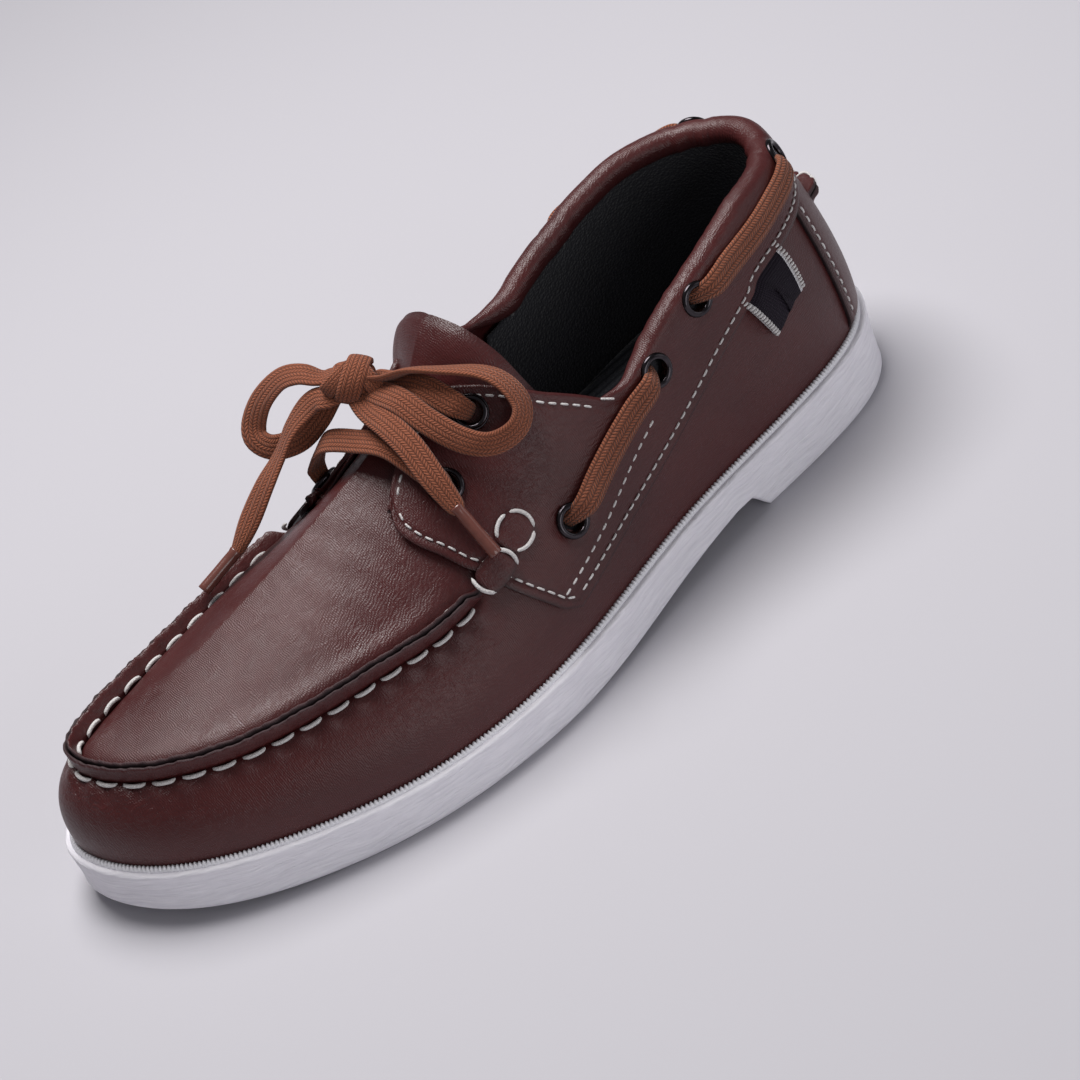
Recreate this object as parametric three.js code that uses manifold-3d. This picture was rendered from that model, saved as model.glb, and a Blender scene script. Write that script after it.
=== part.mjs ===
// Left boat shoe: a hollow leather upper on a moulded rubber sole, with a side lace and a bow.
// Millimetres, +Z up. The toe points along -Y, the outer (lateral) side along +X.
import * as THREE from 'three'
import { mergeVertices } from 'three/addons/utils/BufferGeometryUtils.js'
import Module from 'manifold-3d'

const wasm = await Module()
wasm.setup()

// ---- driving dimensions ----

const WALL = 2.4 // vamp leather with its lining
const GAP = 0.3 // room between pieces that lie on each other
const OVERLAY = 1.4 // leather of the quarter and of the heel counter
const LIP = 2.4 // ledge of the sole outside the upper
const BEAD = 3.6 // widest point of the sole wall outside the upper
const EYELET = { outer: 5.2, bore: 3.1, hole: 4.3, barrel: 3.9, rise: 1.1, depth: 2.4 }
const SEAT = 0.15 // height of an eyelet's flange over the leather
const LACE = { width: 7.6, thick: 1.7 }

// ---- the last: one row for each rib, from the heel back round to the toe tip ----

// Each rib rises from the sole edge (lat = lateral side, med = medial side) to a point of the ridge.
// bulge and stand shape its foot, crown and droop shape its shoulder, all as handle lengths.
const RIB_COLUMNS = [
  'ridgeX', 'ridgeY', 'ridgeZ', 'soleZ', 'latX', 'latY', 'medX', 'medY',
  'bulge', 'stand', 'crownLat', 'crownMed', 'droop',
]
const RIB_ROWS = [
  [-1, 116, 128, 21.6, -1, 141.5, -1, 141.5, 3, 30, 7, 7, 16], // heel back
  [-1, 112, 128, 21.5, 17, 135.5, -19, 135.5, 4, 32, 11, 11, 14],
  [-1, 98, 129, 21, 29.5, 117.5, -32, 118, 5, 36, 22, 20, 8],
  [-1, 66, 130, 19.7, 34.5, 83.5, -35.5, 86, 6, 40, 30, 25, 4], // heel breast
  [-2, 26, 119, 17.7, 37.5, 43.2, -31.5, 44, 5, 36, 29, 24, 3], // waist
  [-3, -8, 87, 16, 45, 5.2, -34, 6, 4, 28, 26, 20, 2], // instep
  [-5, -40, 70, 14.7, 49.5, -28, -44, -32, 4, 24, 26, 15, 2], // ball
  [-8, -70, 61, 14.3, 46.8, -62, -51, -70, 4.5, 22, 26, 12, 2],
  [-11, -92, 55, 15.3, 37, -92, -49.5, -100, 4, 22, 24, 11, 2],
  [-14, -107, 51, 17, 21.4, -120, -44, -124, 3, 22, 20, 12, 2],
  [-16, -114, 48.5, 18.5, 1.6, -138.5, -35, -137, 3, 22, 17, 14, 2],
  [-19, -116, 48, 19.2, -20.5, -144.5, -20.5, -144.5, 3, 22, 16, 16, 2], // toe tip
]
const TOE = RIB_ROWS.length - 1
const RIBS = 2 * TOE // stations once round the shoe
const STEPS = 2 * RIBS // facets once round the shoe
const RISE = 8 // facets up a rib

/** One control row: [foot x y z, ridge x y z, bulge, stand, crown, droop] of a rib on one side. */
function ribSide(row, lateral) {
  const rib = Object.fromEntries(RIB_COLUMNS.map((name, k) => [name, row[k]]))
  const foot = lateral ? [rib.latX, rib.latY, rib.soleZ] : [rib.medX, rib.medY, rib.soleZ]
  const crown = lateral ? rib.crownLat : rib.crownMed
  return [...foot, rib.ridgeX, rib.ridgeY, rib.ridgeZ, rib.bulge, rib.stand, crown, rib.droop]
}

/** Control points of the closed cubic B-spline that passes through every rib. */
function splineControls() {
  const lateral = RIB_ROWS.map((row) => ribSide(row, true))
  const medial = RIB_ROWS.slice(1, TOE).reverse().map((row) => ribSide(row, false))
  const through = [...lateral, ...medial]
  let controls = through
  for (let pass = 0; pass < 50; pass++) {
    controls = through.map((point, i) => {
      const before = controls[(i + RIBS - 1) % RIBS]
      const after = controls[(i + 1) % RIBS]
      return point.map((value, k) => (6 * value - before[k] - after[k]) / 4)
    })
  }
  return controls
}
const CONTROLS = splineControls()

/** The rib at station u, counted from the heel back along the lateral side, closed after RIBS. */
function ribAt(u) {
  const i = Math.floor(u)
  const t = u - i
  const weights = [(1 - t) ** 3, 3 * t ** 3 - 6 * t ** 2 + 4, -3 * t ** 3 + 3 * t ** 2 + 3 * t + 1, t ** 3]
  const rows = [-1, 0, 1, 2].map((k) => CONTROLS[(((i + k) % RIBS) + RIBS) % RIBS])
  return rows[0].map((_, k) => rows.reduce((sum, row, n) => sum + (weights[n] * row[k]) / 6, 0))
}

/** Point of the last at station u and height v (0 sole edge, 1 ridge), with the form grown by grow. */
function lastPoint(u, v, grow = 0) {
  const [footX, footY, footZ, ridgeX, ridgeY, ridgeZ, bulge, stand, crown, droop] = ribAt(u)
  const inward = new THREE.Vector3(ridgeX - footX, ridgeY - footY, 0).normalize()
  const up = new THREE.Vector3(0, 0, 1)
  const foot = new THREE.Vector3(footX, footY, footZ).addScaledVector(inward, -grow)
  const ridge = new THREE.Vector3(ridgeX, ridgeY, ridgeZ + grow)
  const footHandle = foot.clone().addScaledVector(inward, -bulge).addScaledVector(up, stand + 0.3 * grow)
  const ridgeHandle = ridge.clone().addScaledVector(inward, -crown - 0.8 * grow).addScaledVector(up, -droop)
  return new THREE.CubicBezierCurve3(foot, footHandle, ridgeHandle, ridge).getPoint(v)
}

/** Outward unit normal of the last at (u, v). */
function lastNormal(u, v) {
  const step = 0.01
  const alongU = lastPoint(u + step, v).sub(lastPoint(u - step, v))
  const alongV = lastPoint(u, Math.min(v + step, 1)).sub(lastPoint(u, Math.max(v - step, 0)))
  return alongV.cross(alongU).normalize()
}

/** Sole outline at station u: the foot of the last moved out by offset, at height z. */
function outlinePoint(u, offset, z) {
  const foot = lastPoint(u, 0)
  const along = lastPoint(u + 0.01, 0).sub(lastPoint(u - 0.01, 0)).setZ(0).normalize()
  return new THREE.Vector3(foot.x - along.y * offset, foot.y + along.x * offset, z)
}

// ---- solids ----

/** A manifold solid from points and triangles. */
function solidFrom(points, triangles) {
  const mesh = new wasm.Mesh({
    numProp: 3,
    vertProperties: new Float32Array(points.flatMap((p) => [p.x, p.y, p.z])),
    triVerts: new Uint32Array(triangles.flat()),
  })
  mesh.merge()
  return new wasm.Manifold(mesh)
}

/** A manifold solid from a closed three.js geometry. */
function solidOf(geometry) {
  const plain = geometry.clone()
  plain.deleteAttribute('normal')
  plain.deleteAttribute('uv')
  const merged = mergeVertices(plain, 1e-4)
  return new wasm.Manifold(new wasm.Mesh({
    numProp: 3,
    vertProperties: new Float32Array(merged.attributes.position.array),
    triVerts: new Uint32Array(merged.index.array),
  }))
}

/** The three.js geometry of a manifold solid. */
function geometryOf(solid) {
  const mesh = solid.getMesh()
  const geometry = new THREE.BufferGeometry()
  geometry.setAttribute('position', new THREE.BufferAttribute(new Float32Array(mesh.vertProperties), 3))
  geometry.setIndex(new THREE.BufferAttribute(new Uint32Array(mesh.triVerts), 1))
  const faceted = geometry.toNonIndexed()
  faceted.computeVertexNormals()
  return faceted
}

/** Both halves of a four-sided face. */
function quad(a, b, c, d) {
  return [[a, b, c], [a, c, d]]
}

/** Rows of faces that close a ring of STEPS points from side to side, facing up or down. */
function ladder(start, upward) {
  const faces = []
  const half = STEPS / 2
  for (let i = 0; i < half; i++) {
    const lateral = [start + i, start + i + 1]
    const medial = [start + ((STEPS - i) % STEPS), start + STEPS - i - 1]
    const face = i === 0
      ? [[lateral[0], lateral[1], medial[1]]]
      : i === half - 1
        ? [[lateral[0], lateral[1], medial[0]]]
        : quad(lateral[0], lateral[1], medial[1], medial[0])
    faces.push(...face.map((t) => (upward ? [t[0], t[2], t[1]] : t)))
  }
  return faces
}

/** Solid between stacked rings, each a function of the station u, closed flat from side to side. */
function ringSolid(rings) {
  const points = rings.flatMap((ring) => Array.from({ length: STEPS }, (_, i) => ring((i * RIBS) / STEPS)))
  const faces = [...ladder(0, false), ...ladder((rings.length - 1) * STEPS, true)]
  for (let j = 0; j < rings.length - 1; j++) {
    for (let i = 0; i < STEPS; i++) {
      const next = (i + 1) % STEPS
      const low = j * STEPS
      const high = low + STEPS
      faces.push(...quad(low + i, high + i, high + next, low + next))
    }
  }
  return solidFrom(points, faces)
}

/** The closed form of the last grown by grow, from a skirt below the sole edge up to the ridge. */
function lastSolid(grow, skirt) {
  const points = []
  const faces = [...ladder(0, false)]
  for (let i = 0; i < STEPS; i++) {
    const foot = lastPoint((i * RIBS) / STEPS, 0, grow)
    points.push(foot.setZ(foot.z - skirt))
  }
  for (let j = 0; j <= RISE; j++) {
    for (let i = 0; i < STEPS; i++) points.push(lastPoint((i * RIBS) / STEPS, j / RISE, grow))
  }
  const index = (i, j) => {
    const around = i % STEPS
    return (j === RISE + 1 ? Math.min(around, STEPS - around) : around) + j * STEPS
  }
  for (let j = 0; j <= RISE; j++) {
    for (let i = 0; i < STEPS; i++) faces.push(...quad(index(i, j), index(i, j + 1), index(i + 1, j + 1), index(i + 1, j)))
  }
  return solidFrom(points, faces)
}

/** Prism of a side view outline ([y, z] points) from x = from to x = to. */
function sidePrism(outline, from, to) {
  const shape = new THREE.Shape(outline.map(([y, z]) => new THREE.Vector2(y, z)))
  const prism = new THREE.ExtrudeGeometry(shape, { depth: to - from, bevelEnabled: false })
  const axes = new THREE.Matrix4().makeBasis(
    new THREE.Vector3(0, 1, 0), new THREE.Vector3(0, 0, 1), new THREE.Vector3(1, 0, 0))
  return solidOf(prism.applyMatrix4(axes).translate(from, 0, 0))
}

/** Prism of a plan outline ([x, y] points) from z = from to z = to. */
function planPrism(outline, from, to) {
  const shape = new THREE.Shape(outline.map(([x, y]) => new THREE.Vector2(x, y)))
  const prism = new THREE.ExtrudeGeometry(shape, { depth: to - from, bevelEnabled: false })
  return solidOf(prism.translate(0, 0, from))
}

/** Points of a smooth curve through a short list of 2D points. */
function smooth(points, count) {
  const curve = new THREE.SplineCurve(points.map(([a, b]) => new THREE.Vector2(a, b)))
  return curve.getPoints(count).map((p) => [p.x, p.y])
}

// ---- edges of the panels, as side views ([y, z]) and plans ([x, y]) ----

const TOP_LINE = {
  lateral: [[-1, 85.5], [4, 85.4], [10, 83.4], [20, 77], [29, 69.6], [38, 66.4], [46, 69.5], [58, 75.5],
    [73, 80.5], [90, 85.3], [108, 87.6], [150, 88]],
  medial: [[-1, 86], [4, 86], [10, 84.5], [20, 79.5], [29, 74], [38, 71.5], [48, 73.5], [60, 77.5],
    [74, 81.5], [90, 85.3], [108, 87.6], [150, 88]],
}
const BAND_LINE = {
  lateral: [[150, 71], [120, 69.8], [104, 65.5], [90, 60.7], [75, 54.6], [62, 48.2], [48, 42], [34, 37],
    [18, 32.4], [0, 27.6], [-6, 26.2]],
  medial: [[150, 71], [120, 69.8], [104, 65.5], [90, 60.7], [75, 54.6], [60, 47.6], [44, 40.6], [28, 35],
    [10, 30], [-8, 26.4], [-14, 25.6]],
}
const FACING_FRONT = {
  lateral: [[-12, 29.8], [-19.5, 40.1], [-24.3, 48.6], [-29.6, 56.4], [-33.1, 63], [-34, 70]],
  medial: [[-20, 29.8], [-28, 40.1], [-33, 48.6], [-38.5, 54.5], [-42.5, 60], [-44, 68]],
}
const FACING_EDGE = {
  lateral: [[6, 12], [6, 0], [5.8, -19], [7.5, -25], [10.5, -30.5], [17.5, -33.5], [24, -34]],
  medial: [[-14, 12], [-14.5, 0], [-16, -18], [-18, -28], [-21, -37], [-27, -43], [-33, -44]],
}
const MIDLINE_X = -3

/** Cutter above the top line of one side. */
function topCutter(side) {
  const line = smooth(TOP_LINE[side], 44)
  const outline = [...line, [150, 160], [-1, 160]]
  return side === 'lateral' ? sidePrism(outline, MIDLINE_X, 80) : sidePrism(outline, -80, MIDLINE_X)
}

/** Side view region of the quarter: above its band line and behind its facing front. */
function quarterRegion(side) {
  const outline = [...smooth(BAND_LINE[side], 30), ...smooth(FACING_FRONT[side], 12), [-60, 120], [150, 120]]
  return side === 'lateral' ? sidePrism(outline, MIDLINE_X, 80) : sidePrism(outline, -80, MIDLINE_X)
}

const TOP_CUT = topCutter('lateral').add(topCutter('medial'))

/** Upper's throat: a slot between the facings with a round front end. */
function throatCutter() {
  const outline = [[6, 20], [6, 0], ...smooth([[5.8, -12], [2.5, -20], [-5, -23.5], [-12.5, -20], [-15.5, -12]], 16),
    [-14.5, 0], [-14, 20]]
  return planPrism(outline, 40, 160)
}

/** Plan region in front of and between the facings, which the quarter leaves bare. */
function facingCutter() {
  const lateral = smooth(FACING_EDGE.lateral, 18)
  const medial = smooth(FACING_EDGE.medial, 18).reverse()
  return planPrism([[6, 40], ...lateral, [26, -80], [-36, -80], ...medial, [-14, 40]], 40, 160)
}

// ---- eyelets ----

const EYELET_PLACES = [
  { name: 'front_low', lateral: [5.42, 0.683], medial: [16.22, 0.655] },
  { name: 'front_high', lateral: [4.88, 0.717], medial: [16.86, 0.692] },
  { name: 'side_1', lateral: [4.96, 0.325], medial: [16.82, 0.34] },
  { name: 'side_2', lateral: [3.78, 0.35], medial: [18.18, 0.36] },
  { name: 'side_3', lateral: [3.24, 0.392], medial: [18.76, 0.392] },
  { name: 'side_4', lateral: [1.34, 0.49], medial: [20.66, 0.49] },
]

/** Placement of an eyelet: origin on the quarter's outer face, Z along the outward normal. */
function eyeletFrame([u, v]) {
  const normal = lastNormal(u, v)
  const origin = lastPoint(u, v, GAP + OVERLAY + SEAT)
  const turn = new THREE.Quaternion().setFromUnitVectors(new THREE.Vector3(0, 0, 1), normal)
  return new THREE.Matrix4().compose(origin, turn, new THREE.Vector3(1, 1, 1))
}

/** Round cutter through the leather at an eyelet. */
function eyeletHole(place) {
  const drill = new THREE.CylinderGeometry(EYELET.hole, EYELET.hole, 16, 16).rotateX(Math.PI / 2)
  return solidOf(drill.applyMatrix4(eyeletFrame(place)))
}

const EYELET_HOLES = EYELET_PLACES.flatMap((place) => [eyeletHole(place.lateral), eyeletHole(place.medial)])

/** A solid with every eyelet hole taken out. */
function punched(solid) {
  return EYELET_HOLES.reduce((left, hole) => left.subtract(hole), solid)
}

/** Rolled metal eyelet: a round flange over the leather and a barrel through it. */
function eyeletGeometry() {
  const { outer, bore, barrel, rise, depth } = EYELET
  const profile = [
    [bore, -depth], [barrel, -depth], [barrel, rise - 0.5], [outer, rise - 0.5],
    [outer - 0.9, rise + 0.7], [bore, rise], [bore, -depth],
  ]
  const ring = new THREE.LatheGeometry(profile.map(([r, z]) => new THREE.Vector2(r, z)), 12)
  return ring.rotateX(Math.PI / 2)
}

// ---- the sole ----

const HEEL_FRONT = 70 // breast of the heel block
const ARCH_RISE = 6.5 // height of the waist above the floor
const TOE_SPRING = 5

/** Height of the tread under the forefoot and the waist. */
function treadZ(y) {
  const spring = y < -80 ? TOE_SPRING * ((-80 - y) / 66) ** 2 : 0
  const arch = y > -20 ? ARCH_RISE * Math.min(1, (y + 20) / 78) ** 1.5 : 0
  return spring + arch
}

/** Ring of the sole at an offset from the upper's foot, at a height over or under its top face. */
function soleRing(offset, fall) {
  return (u) => outlinePoint(u, offset, lastPoint(u, 0).z - GAP - fall)
}

/** Ring of the tread's edge at an offset from the upper's foot. */
function treadRing(offset, lift) {
  return (u) => {
    const place = outlinePoint(u, offset, 0)
    return place.setZ(treadZ(place.y) + lift)
  }
}

/** Moulded rubber sole: tread and side wall, bead, ledge under the upper, and a heel block. */
function outsole() {
  const wall = [soleRing(BEAD - 0.5, 4.4), soleRing(BEAD, 3), soleRing(BEAD - 0.5, 1.6), soleRing(LIP, 1.3),
    soleRing(LIP - 0.2, 0)]
  const body = ringSolid([treadRing(BEAD - 1.6, 0), treadRing(BEAD - 0.6, 1.2), ...wall])
  const lift = ringSolid([
    (u) => outlinePoint(u, BEAD - 1.6, 0),
    (u) => outlinePoint(u, BEAD - 0.6, 1.2),
    soleRing(BEAD - 0.5, 4.4),
  ])
  const behindBreast = [[HEEL_FRONT, -1], [HEEL_FRONT - 8, 9], [HEEL_FRONT - 8, 40], [160, 40], [160, -1]]
  return body.add(lift.intersect(sidePrism(behindBreast, -80, 80)))
}

/** Cushioned insole lying on the sole inside the upper. */
function insole() {
  const inset = -WALL - 1.2
  return ringSolid([soleRing(inset, -GAP), soleRing(inset, -GAP - 2.2), soleRing(inset - 1, -GAP - 3.2)])
}

// ---- leather ----

/** Upper: one hollow wall with the top line, the throat and the eyelet holes cut out, open below. */
function upper() {
  const shell = lastSolid(0, 0).subtract(lastSolid(-WALL, 4))
  return punched(shell.subtract(TOP_CUT).subtract(throatCutter()))
}

/** Quarter: the leather band with both facings that lies over the vamp and round the heel. */
function quarter() {
  const skin = lastSolid(GAP + OVERLAY, 0).subtract(lastSolid(GAP, 4))
  const region = quarterRegion('lateral').add(quarterRegion('medial'))
  return punched(skin.intersect(region).subtract(TOP_CUT).subtract(facingCutter()))
}

/** Heel counter: the panel below the band, from behind the lateral heel round to the medial waist. */
function heelCounter() {
  const below = (side, frontTop, frontFoot) => {
    const top = smooth(BAND_LINE[side], 30).filter(([y]) => y > frontTop).map(([y, z]) => [y, z - GAP])
    return [[frontFoot, 15], [150, 15], ...top, [frontTop, top.at(-1)[1] - 1.2]]
  }
  const skin = lastSolid(GAP + OVERLAY - 0.2, 0).subtract(lastSolid(GAP, 4))
  const lateral = sidePrism(below('lateral', 118, 122), MIDLINE_X, 80)
  const medial = sidePrism(below('medial', 92, 84), -80, MIDLINE_X)
  return skin.intersect(lateral.add(medial))
}

const TONGUE_TOP = [[21, 17.5], [14, 13.2], [5, 11.2], [-4, 10.8], [-13, 11.4], [-21, 13.6], [-27, 17.5]]

/** Tongue: a padded tab that leaves the vamp under the throat and stands above the facings. */
function tongue() {
  const skin = lastSolid(-WALL - GAP, 0).subtract(lastSolid(-WALL - GAP - 2.6, 4))
  const outline = [[17, -46], [23, -10], ...smooth(TONGUE_TOP, 18), [-29, -10], [-26, -50]]
  return skin.intersect(planPrism(outline, 30, 160))
}

/** Flat strip through frames { middle, across, normal }, lying lift above them. */
function stripSolid(frames, width, thick, lift, crown = 1) {
  const points = frames.flatMap(({ middle, across, normal }) => {
    const corner = (side, level) => middle.clone().addScaledVector(across, (side * width) / 2)
      .addScaledVector(normal, level)
    return [corner(-1, lift), corner(1, lift), corner(crown, lift + thick), corner(-crown, lift + thick)]
  })
  const faces = []
  for (let i = 0; i < frames.length - 1; i++) {
    for (let k = 0; k < 4; k++) {
      const next = (k + 1) % 4
      faces.push(...quad(4 * i + k, 4 * i + next, 4 * i + 4 + next, 4 * i + 4 + k))
    }
  }
  const last = 4 * (frames.length - 1)
  faces.push(...quad(3, 2, 1, 0), ...quad(last, last + 1, last + 2, last + 3))
  return solidFrom(points, faces)
}

/** Frame on the last at (u, v), running towards greater u. */
function surfaceFrame(u, v) {
  const normal = lastNormal(u, v)
  const across = lastPoint(u, v + 0.02).sub(lastPoint(u, v - 0.02)).normalize()
  return { middle: lastPoint(u, v), across: across.negate(), normal }
}

/** Height v of a seam at station u, read between the points of its table. */
function readTable(table, u) {
  const next = Math.max(1, table.findIndex(([station]) => station >= u))
  const [[u0, v0], [u1, v1]] = [table[next - 1], table[next]]
  return v0 + ((v1 - v0) * (u - u0)) / (u1 - u0)
}

/** Frames along a seam table of [station, height] points. */
function seamFrames(table, steps) {
  const from = table[0][0]
  const to = table.at(-1)[0]
  return Array.from({ length: steps + 1 }, (_, i) => {
    const u = from + ((to - from) * i) / steps
    return surfaceFrame(u, readTable(table, u))
  })
}

const OVER_QUARTER = GAP + OVERLAY + 2 * GAP // first free height over the quarter
const OVER_EYELET = GAP + OVERLAY + SEAT + EYELET.rise + 0.7 + 2 * GAP // first free height over an eyelet
const PINCH = { width: 3, height: 3.2 } // both hand-sewn raised seams

const MOC_SEAM = [
  [5.92, 0.42], [6.4, 0.425], [7, 0.46], [7.6, 0.475], [8.5, 0.49], [9.2, 0.53], [10, 0.58], [11, 0.61],
  [12, 0.62], [13, 0.62], [14, 0.61], [15, 0.6], [15.8, 0.56],
]
const HEEL_PINCH = [[RIBS - 2.5, 0.26], [RIBS - 1.5, 0.29], [RIBS - 0.6, 0.31], [RIBS + 0.9, 0.33]]
const SEAM_TABS = {
  lateral: [[5.36, 0.435], [5.84, 0.425]],
  medial: [[15.84, 0.535], [16.36, 0.525]],
}
const TAG = [[2.2, 0.235], [2.68, 0.2]]
const SIDE_LACES = {
  front_lateral: [[3.78, 0.35], [4.96, 0.325]],
  rear_lateral: [[1.34, 0.49], [2.3, 0.43], [3.24, 0.392]],
  front_medial: [[16.82, 0.34], [18.18, 0.36]],
  rear_medial: [[18.76, 0.392], [19.7, 0.43], [20.66, 0.49]],
}

// ---- the lace: crossings, knot, and the free loops and ends of the bow ----

/** Point a height over the quarter's eyelet of that name and side. */
function overEyelet(name, side, height) {
  const [u, v] = EYELET_PLACES.find((place) => place.name === name)[side]
  return lastPoint(u, v).addScaledVector(lastNormal(u, v), height)
}

/** Flat crossing between the two eyelets of a row, through points over the tongue. */
function crossing(name, between) {
  const lift = OVER_EYELET + LACE.thick + 0.6
  const path = new THREE.CatmullRomCurve3([
    overEyelet(name, 'lateral', lift),
    ...between.map((p) => new THREE.Vector3(...p)),
    overEyelet(name, 'medial', lift),
  ], false, 'centripetal')
  const steps = 14
  const frames = Array.from({ length: steps + 1 }, (_, i) => {
    const along = path.getTangentAt(i / steps)
    const forward = new THREE.Vector3(0, -1, 0)
    const normal = new THREE.Vector3().crossVectors(along, forward).normalize()
    const across = new THREE.Vector3().crossVectors(normal, along)
    return { middle: path.getPointAt(i / steps), across: across.negate(), normal: normal.negate() }
  })
  return stripSolid(frames, LACE.width - 1.6, LACE.thick, -LACE.thick / 2)
}

const CORD = { radius: 2.2, sides: 10, step: 7 }
const KNOT = { centre: [-9, -13.8, 94.6], radii: [7.1, 6, 4.9] }
const CROSSINGS = {
  front_low: [[17.5, -17.5, 77.6], [8, -20.5, 81.3], [-3, -24, 82], [-15, -27.5, 80], [-22.5, -30, 75]],
  front_high: [[16, 0.5, 90], [8, -4.5, 91], [-6, -7.2, 89.2], [-15, -8, 86.6]],
}
const BOW = {
  loop_lateral: [
    [-1.2, -9, 94], [5.6, -4.3, 95.5], [13, 0.4, 94.7], [21.6, 7.2, 92], [27.1, 10.3, 87.6], [31.5, 10.2, 81.2],
    [33.3, 5, 77.4], [30.4, -2.4, 76.6], [24.8, -7.4, 79.7], [17, -10.6, 85.6], [8, -11.8, 91], [-0.6, -12.4, 91.6],
  ],
  loop_medial: [
    [-16.6, -15.2, 94.8], [-20, -18, 94.4], [-25, -20.8, 96.2], [-31, -24.5, 95], [-36, -30.1, 90],
    [-38, -34.7, 83.7], [-36, -36.5, 80.1], [-31, -34.8, 78], [-25, -29.5, 79.2], [-20.6, -23.5, 84],
    [-17.2, -17.6, 90.2],
  ],
  end_lateral: [[-1.6, -17.6, 89.4], [8.6, -18.4, 87.4], [17, -19, 83.4], [25, -20.4, 76.4], [30.6, -20.6, 69]],
  end_medial: [
    [-13, -21.4, 92.4], [-17.4, -23.2, 91.4], [-20.6, -26.6, 88.9], [-23, -31.8, 84.9], [-25, -37, 79],
    [-26, -44.7, 73.5], [-27, -53, 66.6], [-27.5, -59.4, 61.4],
  ],
}
const AGLETS = {
  lateral: [[31, -20.6, 68.4], [42, -20.6, 55.2]],
  medial: [[-27.6, -60.6, 60.8], [-29, -74.4, 56.2]],
}
const AGLET_RADIUS = 1.9

/** Round tube along points. */
function cordGeometry(points) {
  const path = new THREE.CatmullRomCurve3(points.map((p) => new THREE.Vector3(...p)), false, 'centripetal')
  const section = new THREE.Shape(Array.from({ length: CORD.sides }, (_, i) => {
    const angle = (2 * Math.PI * i) / CORD.sides
    return new THREE.Vector2(CORD.radius * Math.cos(angle), CORD.radius * Math.sin(angle))
  }))
  const steps = Math.round(path.getLength() / CORD.step)
  return new THREE.ExtrudeGeometry(section, { steps, extrudePath: path, bevelEnabled: false })
}

/** Round pin between two points. */
function pinGeometry(from, to, radius) {
  const start = new THREE.Vector3(...from)
  const along = new THREE.Vector3(...to).sub(start)
  const pin = new THREE.CylinderGeometry(radius, radius, along.length(), 12)
  const turn = new THREE.Quaternion().setFromUnitVectors(new THREE.Vector3(0, 1, 0), along.clone().normalize())
  return pin.applyQuaternion(turn).translate(...start.addScaledVector(along, 0.5).toArray())
}

/** Rounded body of the knot. */
function knotGeometry() {
  return new THREE.SphereGeometry(1, 16, 10).scale(...KNOT.radii).translate(...KNOT.centre)
}

// ---- materials ----

const LEATHER = new THREE.MeshStandardMaterial({ color: 0x4a2528, roughness: 0.42, metalness: 0 })
const LINING = new THREE.MeshStandardMaterial({ color: 0x17161b, roughness: 0.9, metalness: 0 })
const RUBBER = new THREE.MeshStandardMaterial({ color: 0xd8d4de, roughness: 0.6, metalness: 0 })
const EYELET_METAL = new THREE.MeshStandardMaterial({ color: 0x2a282a, roughness: 0.3, metalness: 0.9 })
const COTTON = new THREE.MeshStandardMaterial({ color: 0x8a4a33, roughness: 0.85, metalness: 0 })
const TIP_PLASTIC = new THREE.MeshStandardMaterial({ color: 0x7a4138, roughness: 0.25, metalness: 0 })
const WOVEN = new THREE.MeshStandardMaterial({ color: 0x1b1a20, roughness: 0.8, metalness: 0 })

// ---- assembly ----

const shoe = new THREE.Group()

/** Adds one named piece. */
function addPiece(name, geometry, material) {
  const mesh = new THREE.Mesh(geometry, material.clone())
  mesh.name = name
  shoe.add(mesh)
  return mesh
}

addPiece('outsole', geometryOf(outsole()), RUBBER)
addPiece('insole', geometryOf(insole()), LINING)
addPiece('upper', geometryOf(upper()), LEATHER)
addPiece('quarter', geometryOf(quarter()), LEATHER)
addPiece('heel_counter', geometryOf(heelCounter()), LEATHER)
addPiece('tongue', geometryOf(tongue()), LEATHER)
addPiece('moc_seam', geometryOf(stripSolid(seamFrames(MOC_SEAM, 60), PINCH.width, PINCH.height, GAP + 0.2, 0.7)), LEATHER)
addPiece('heel_pinch', geometryOf(stripSolid(seamFrames(HEEL_PINCH, 18), PINCH.width, PINCH.height, OVER_QUARTER, 0.7)),
  LEATHER)
for (const [side, table] of Object.entries(SEAM_TABS)) {
  addPiece(`seam_tab_${side}`, geometryOf(stripSolid(seamFrames(table, 6), 8, 1.3, OVER_QUARTER)), LEATHER)
}
addPiece('tag', geometryOf(stripSolid(seamFrames(TAG, 6), 17, 1.2, GAP)), WOVEN)
for (const place of EYELET_PLACES) {
  for (const side of ['lateral', 'medial']) {
    const ring = addPiece(`eyelet_${place.name}_${side}`, eyeletGeometry(), EYELET_METAL)
    ring.applyMatrix4(eyeletFrame(place[side]))
  }
}
for (const [name, table] of Object.entries(SIDE_LACES)) {
  const strip = stripSolid(seamFrames(table, 10), LACE.width - 1, LACE.thick, OVER_EYELET)
  addPiece(`lace_side_${name}`, geometryOf(strip), COTTON)
}
for (const [name, between] of Object.entries(CROSSINGS)) {
  addPiece(`lace_crossing_${name}`, geometryOf(crossing(name, between)), COTTON)
}
addPiece('lace_knot', knotGeometry(), COTTON)
for (const [name, points] of Object.entries(BOW)) addPiece(`lace_${name}`, cordGeometry(points), COTTON)
for (const [side, [from, to]] of Object.entries(AGLETS)) {
  addPiece(`aglet_${side}`, pinGeometry(from, to, AGLET_RADIUS), TIP_PLASTIC)
}

// The origin is under the middle of the shoe's box, without the bow.
const BODY = shoe.children.filter((mesh) => !/^(lace_(knot|loop|end)|aglet)/.test(mesh.name))
const box = new THREE.Box3()
for (const mesh of BODY) box.expandByObject(mesh, true)
shoe.position.set(-(box.min.x + box.max.x) / 2, -(box.min.y + box.max.y) / 2, -box.min.z)

export default shoe
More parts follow.
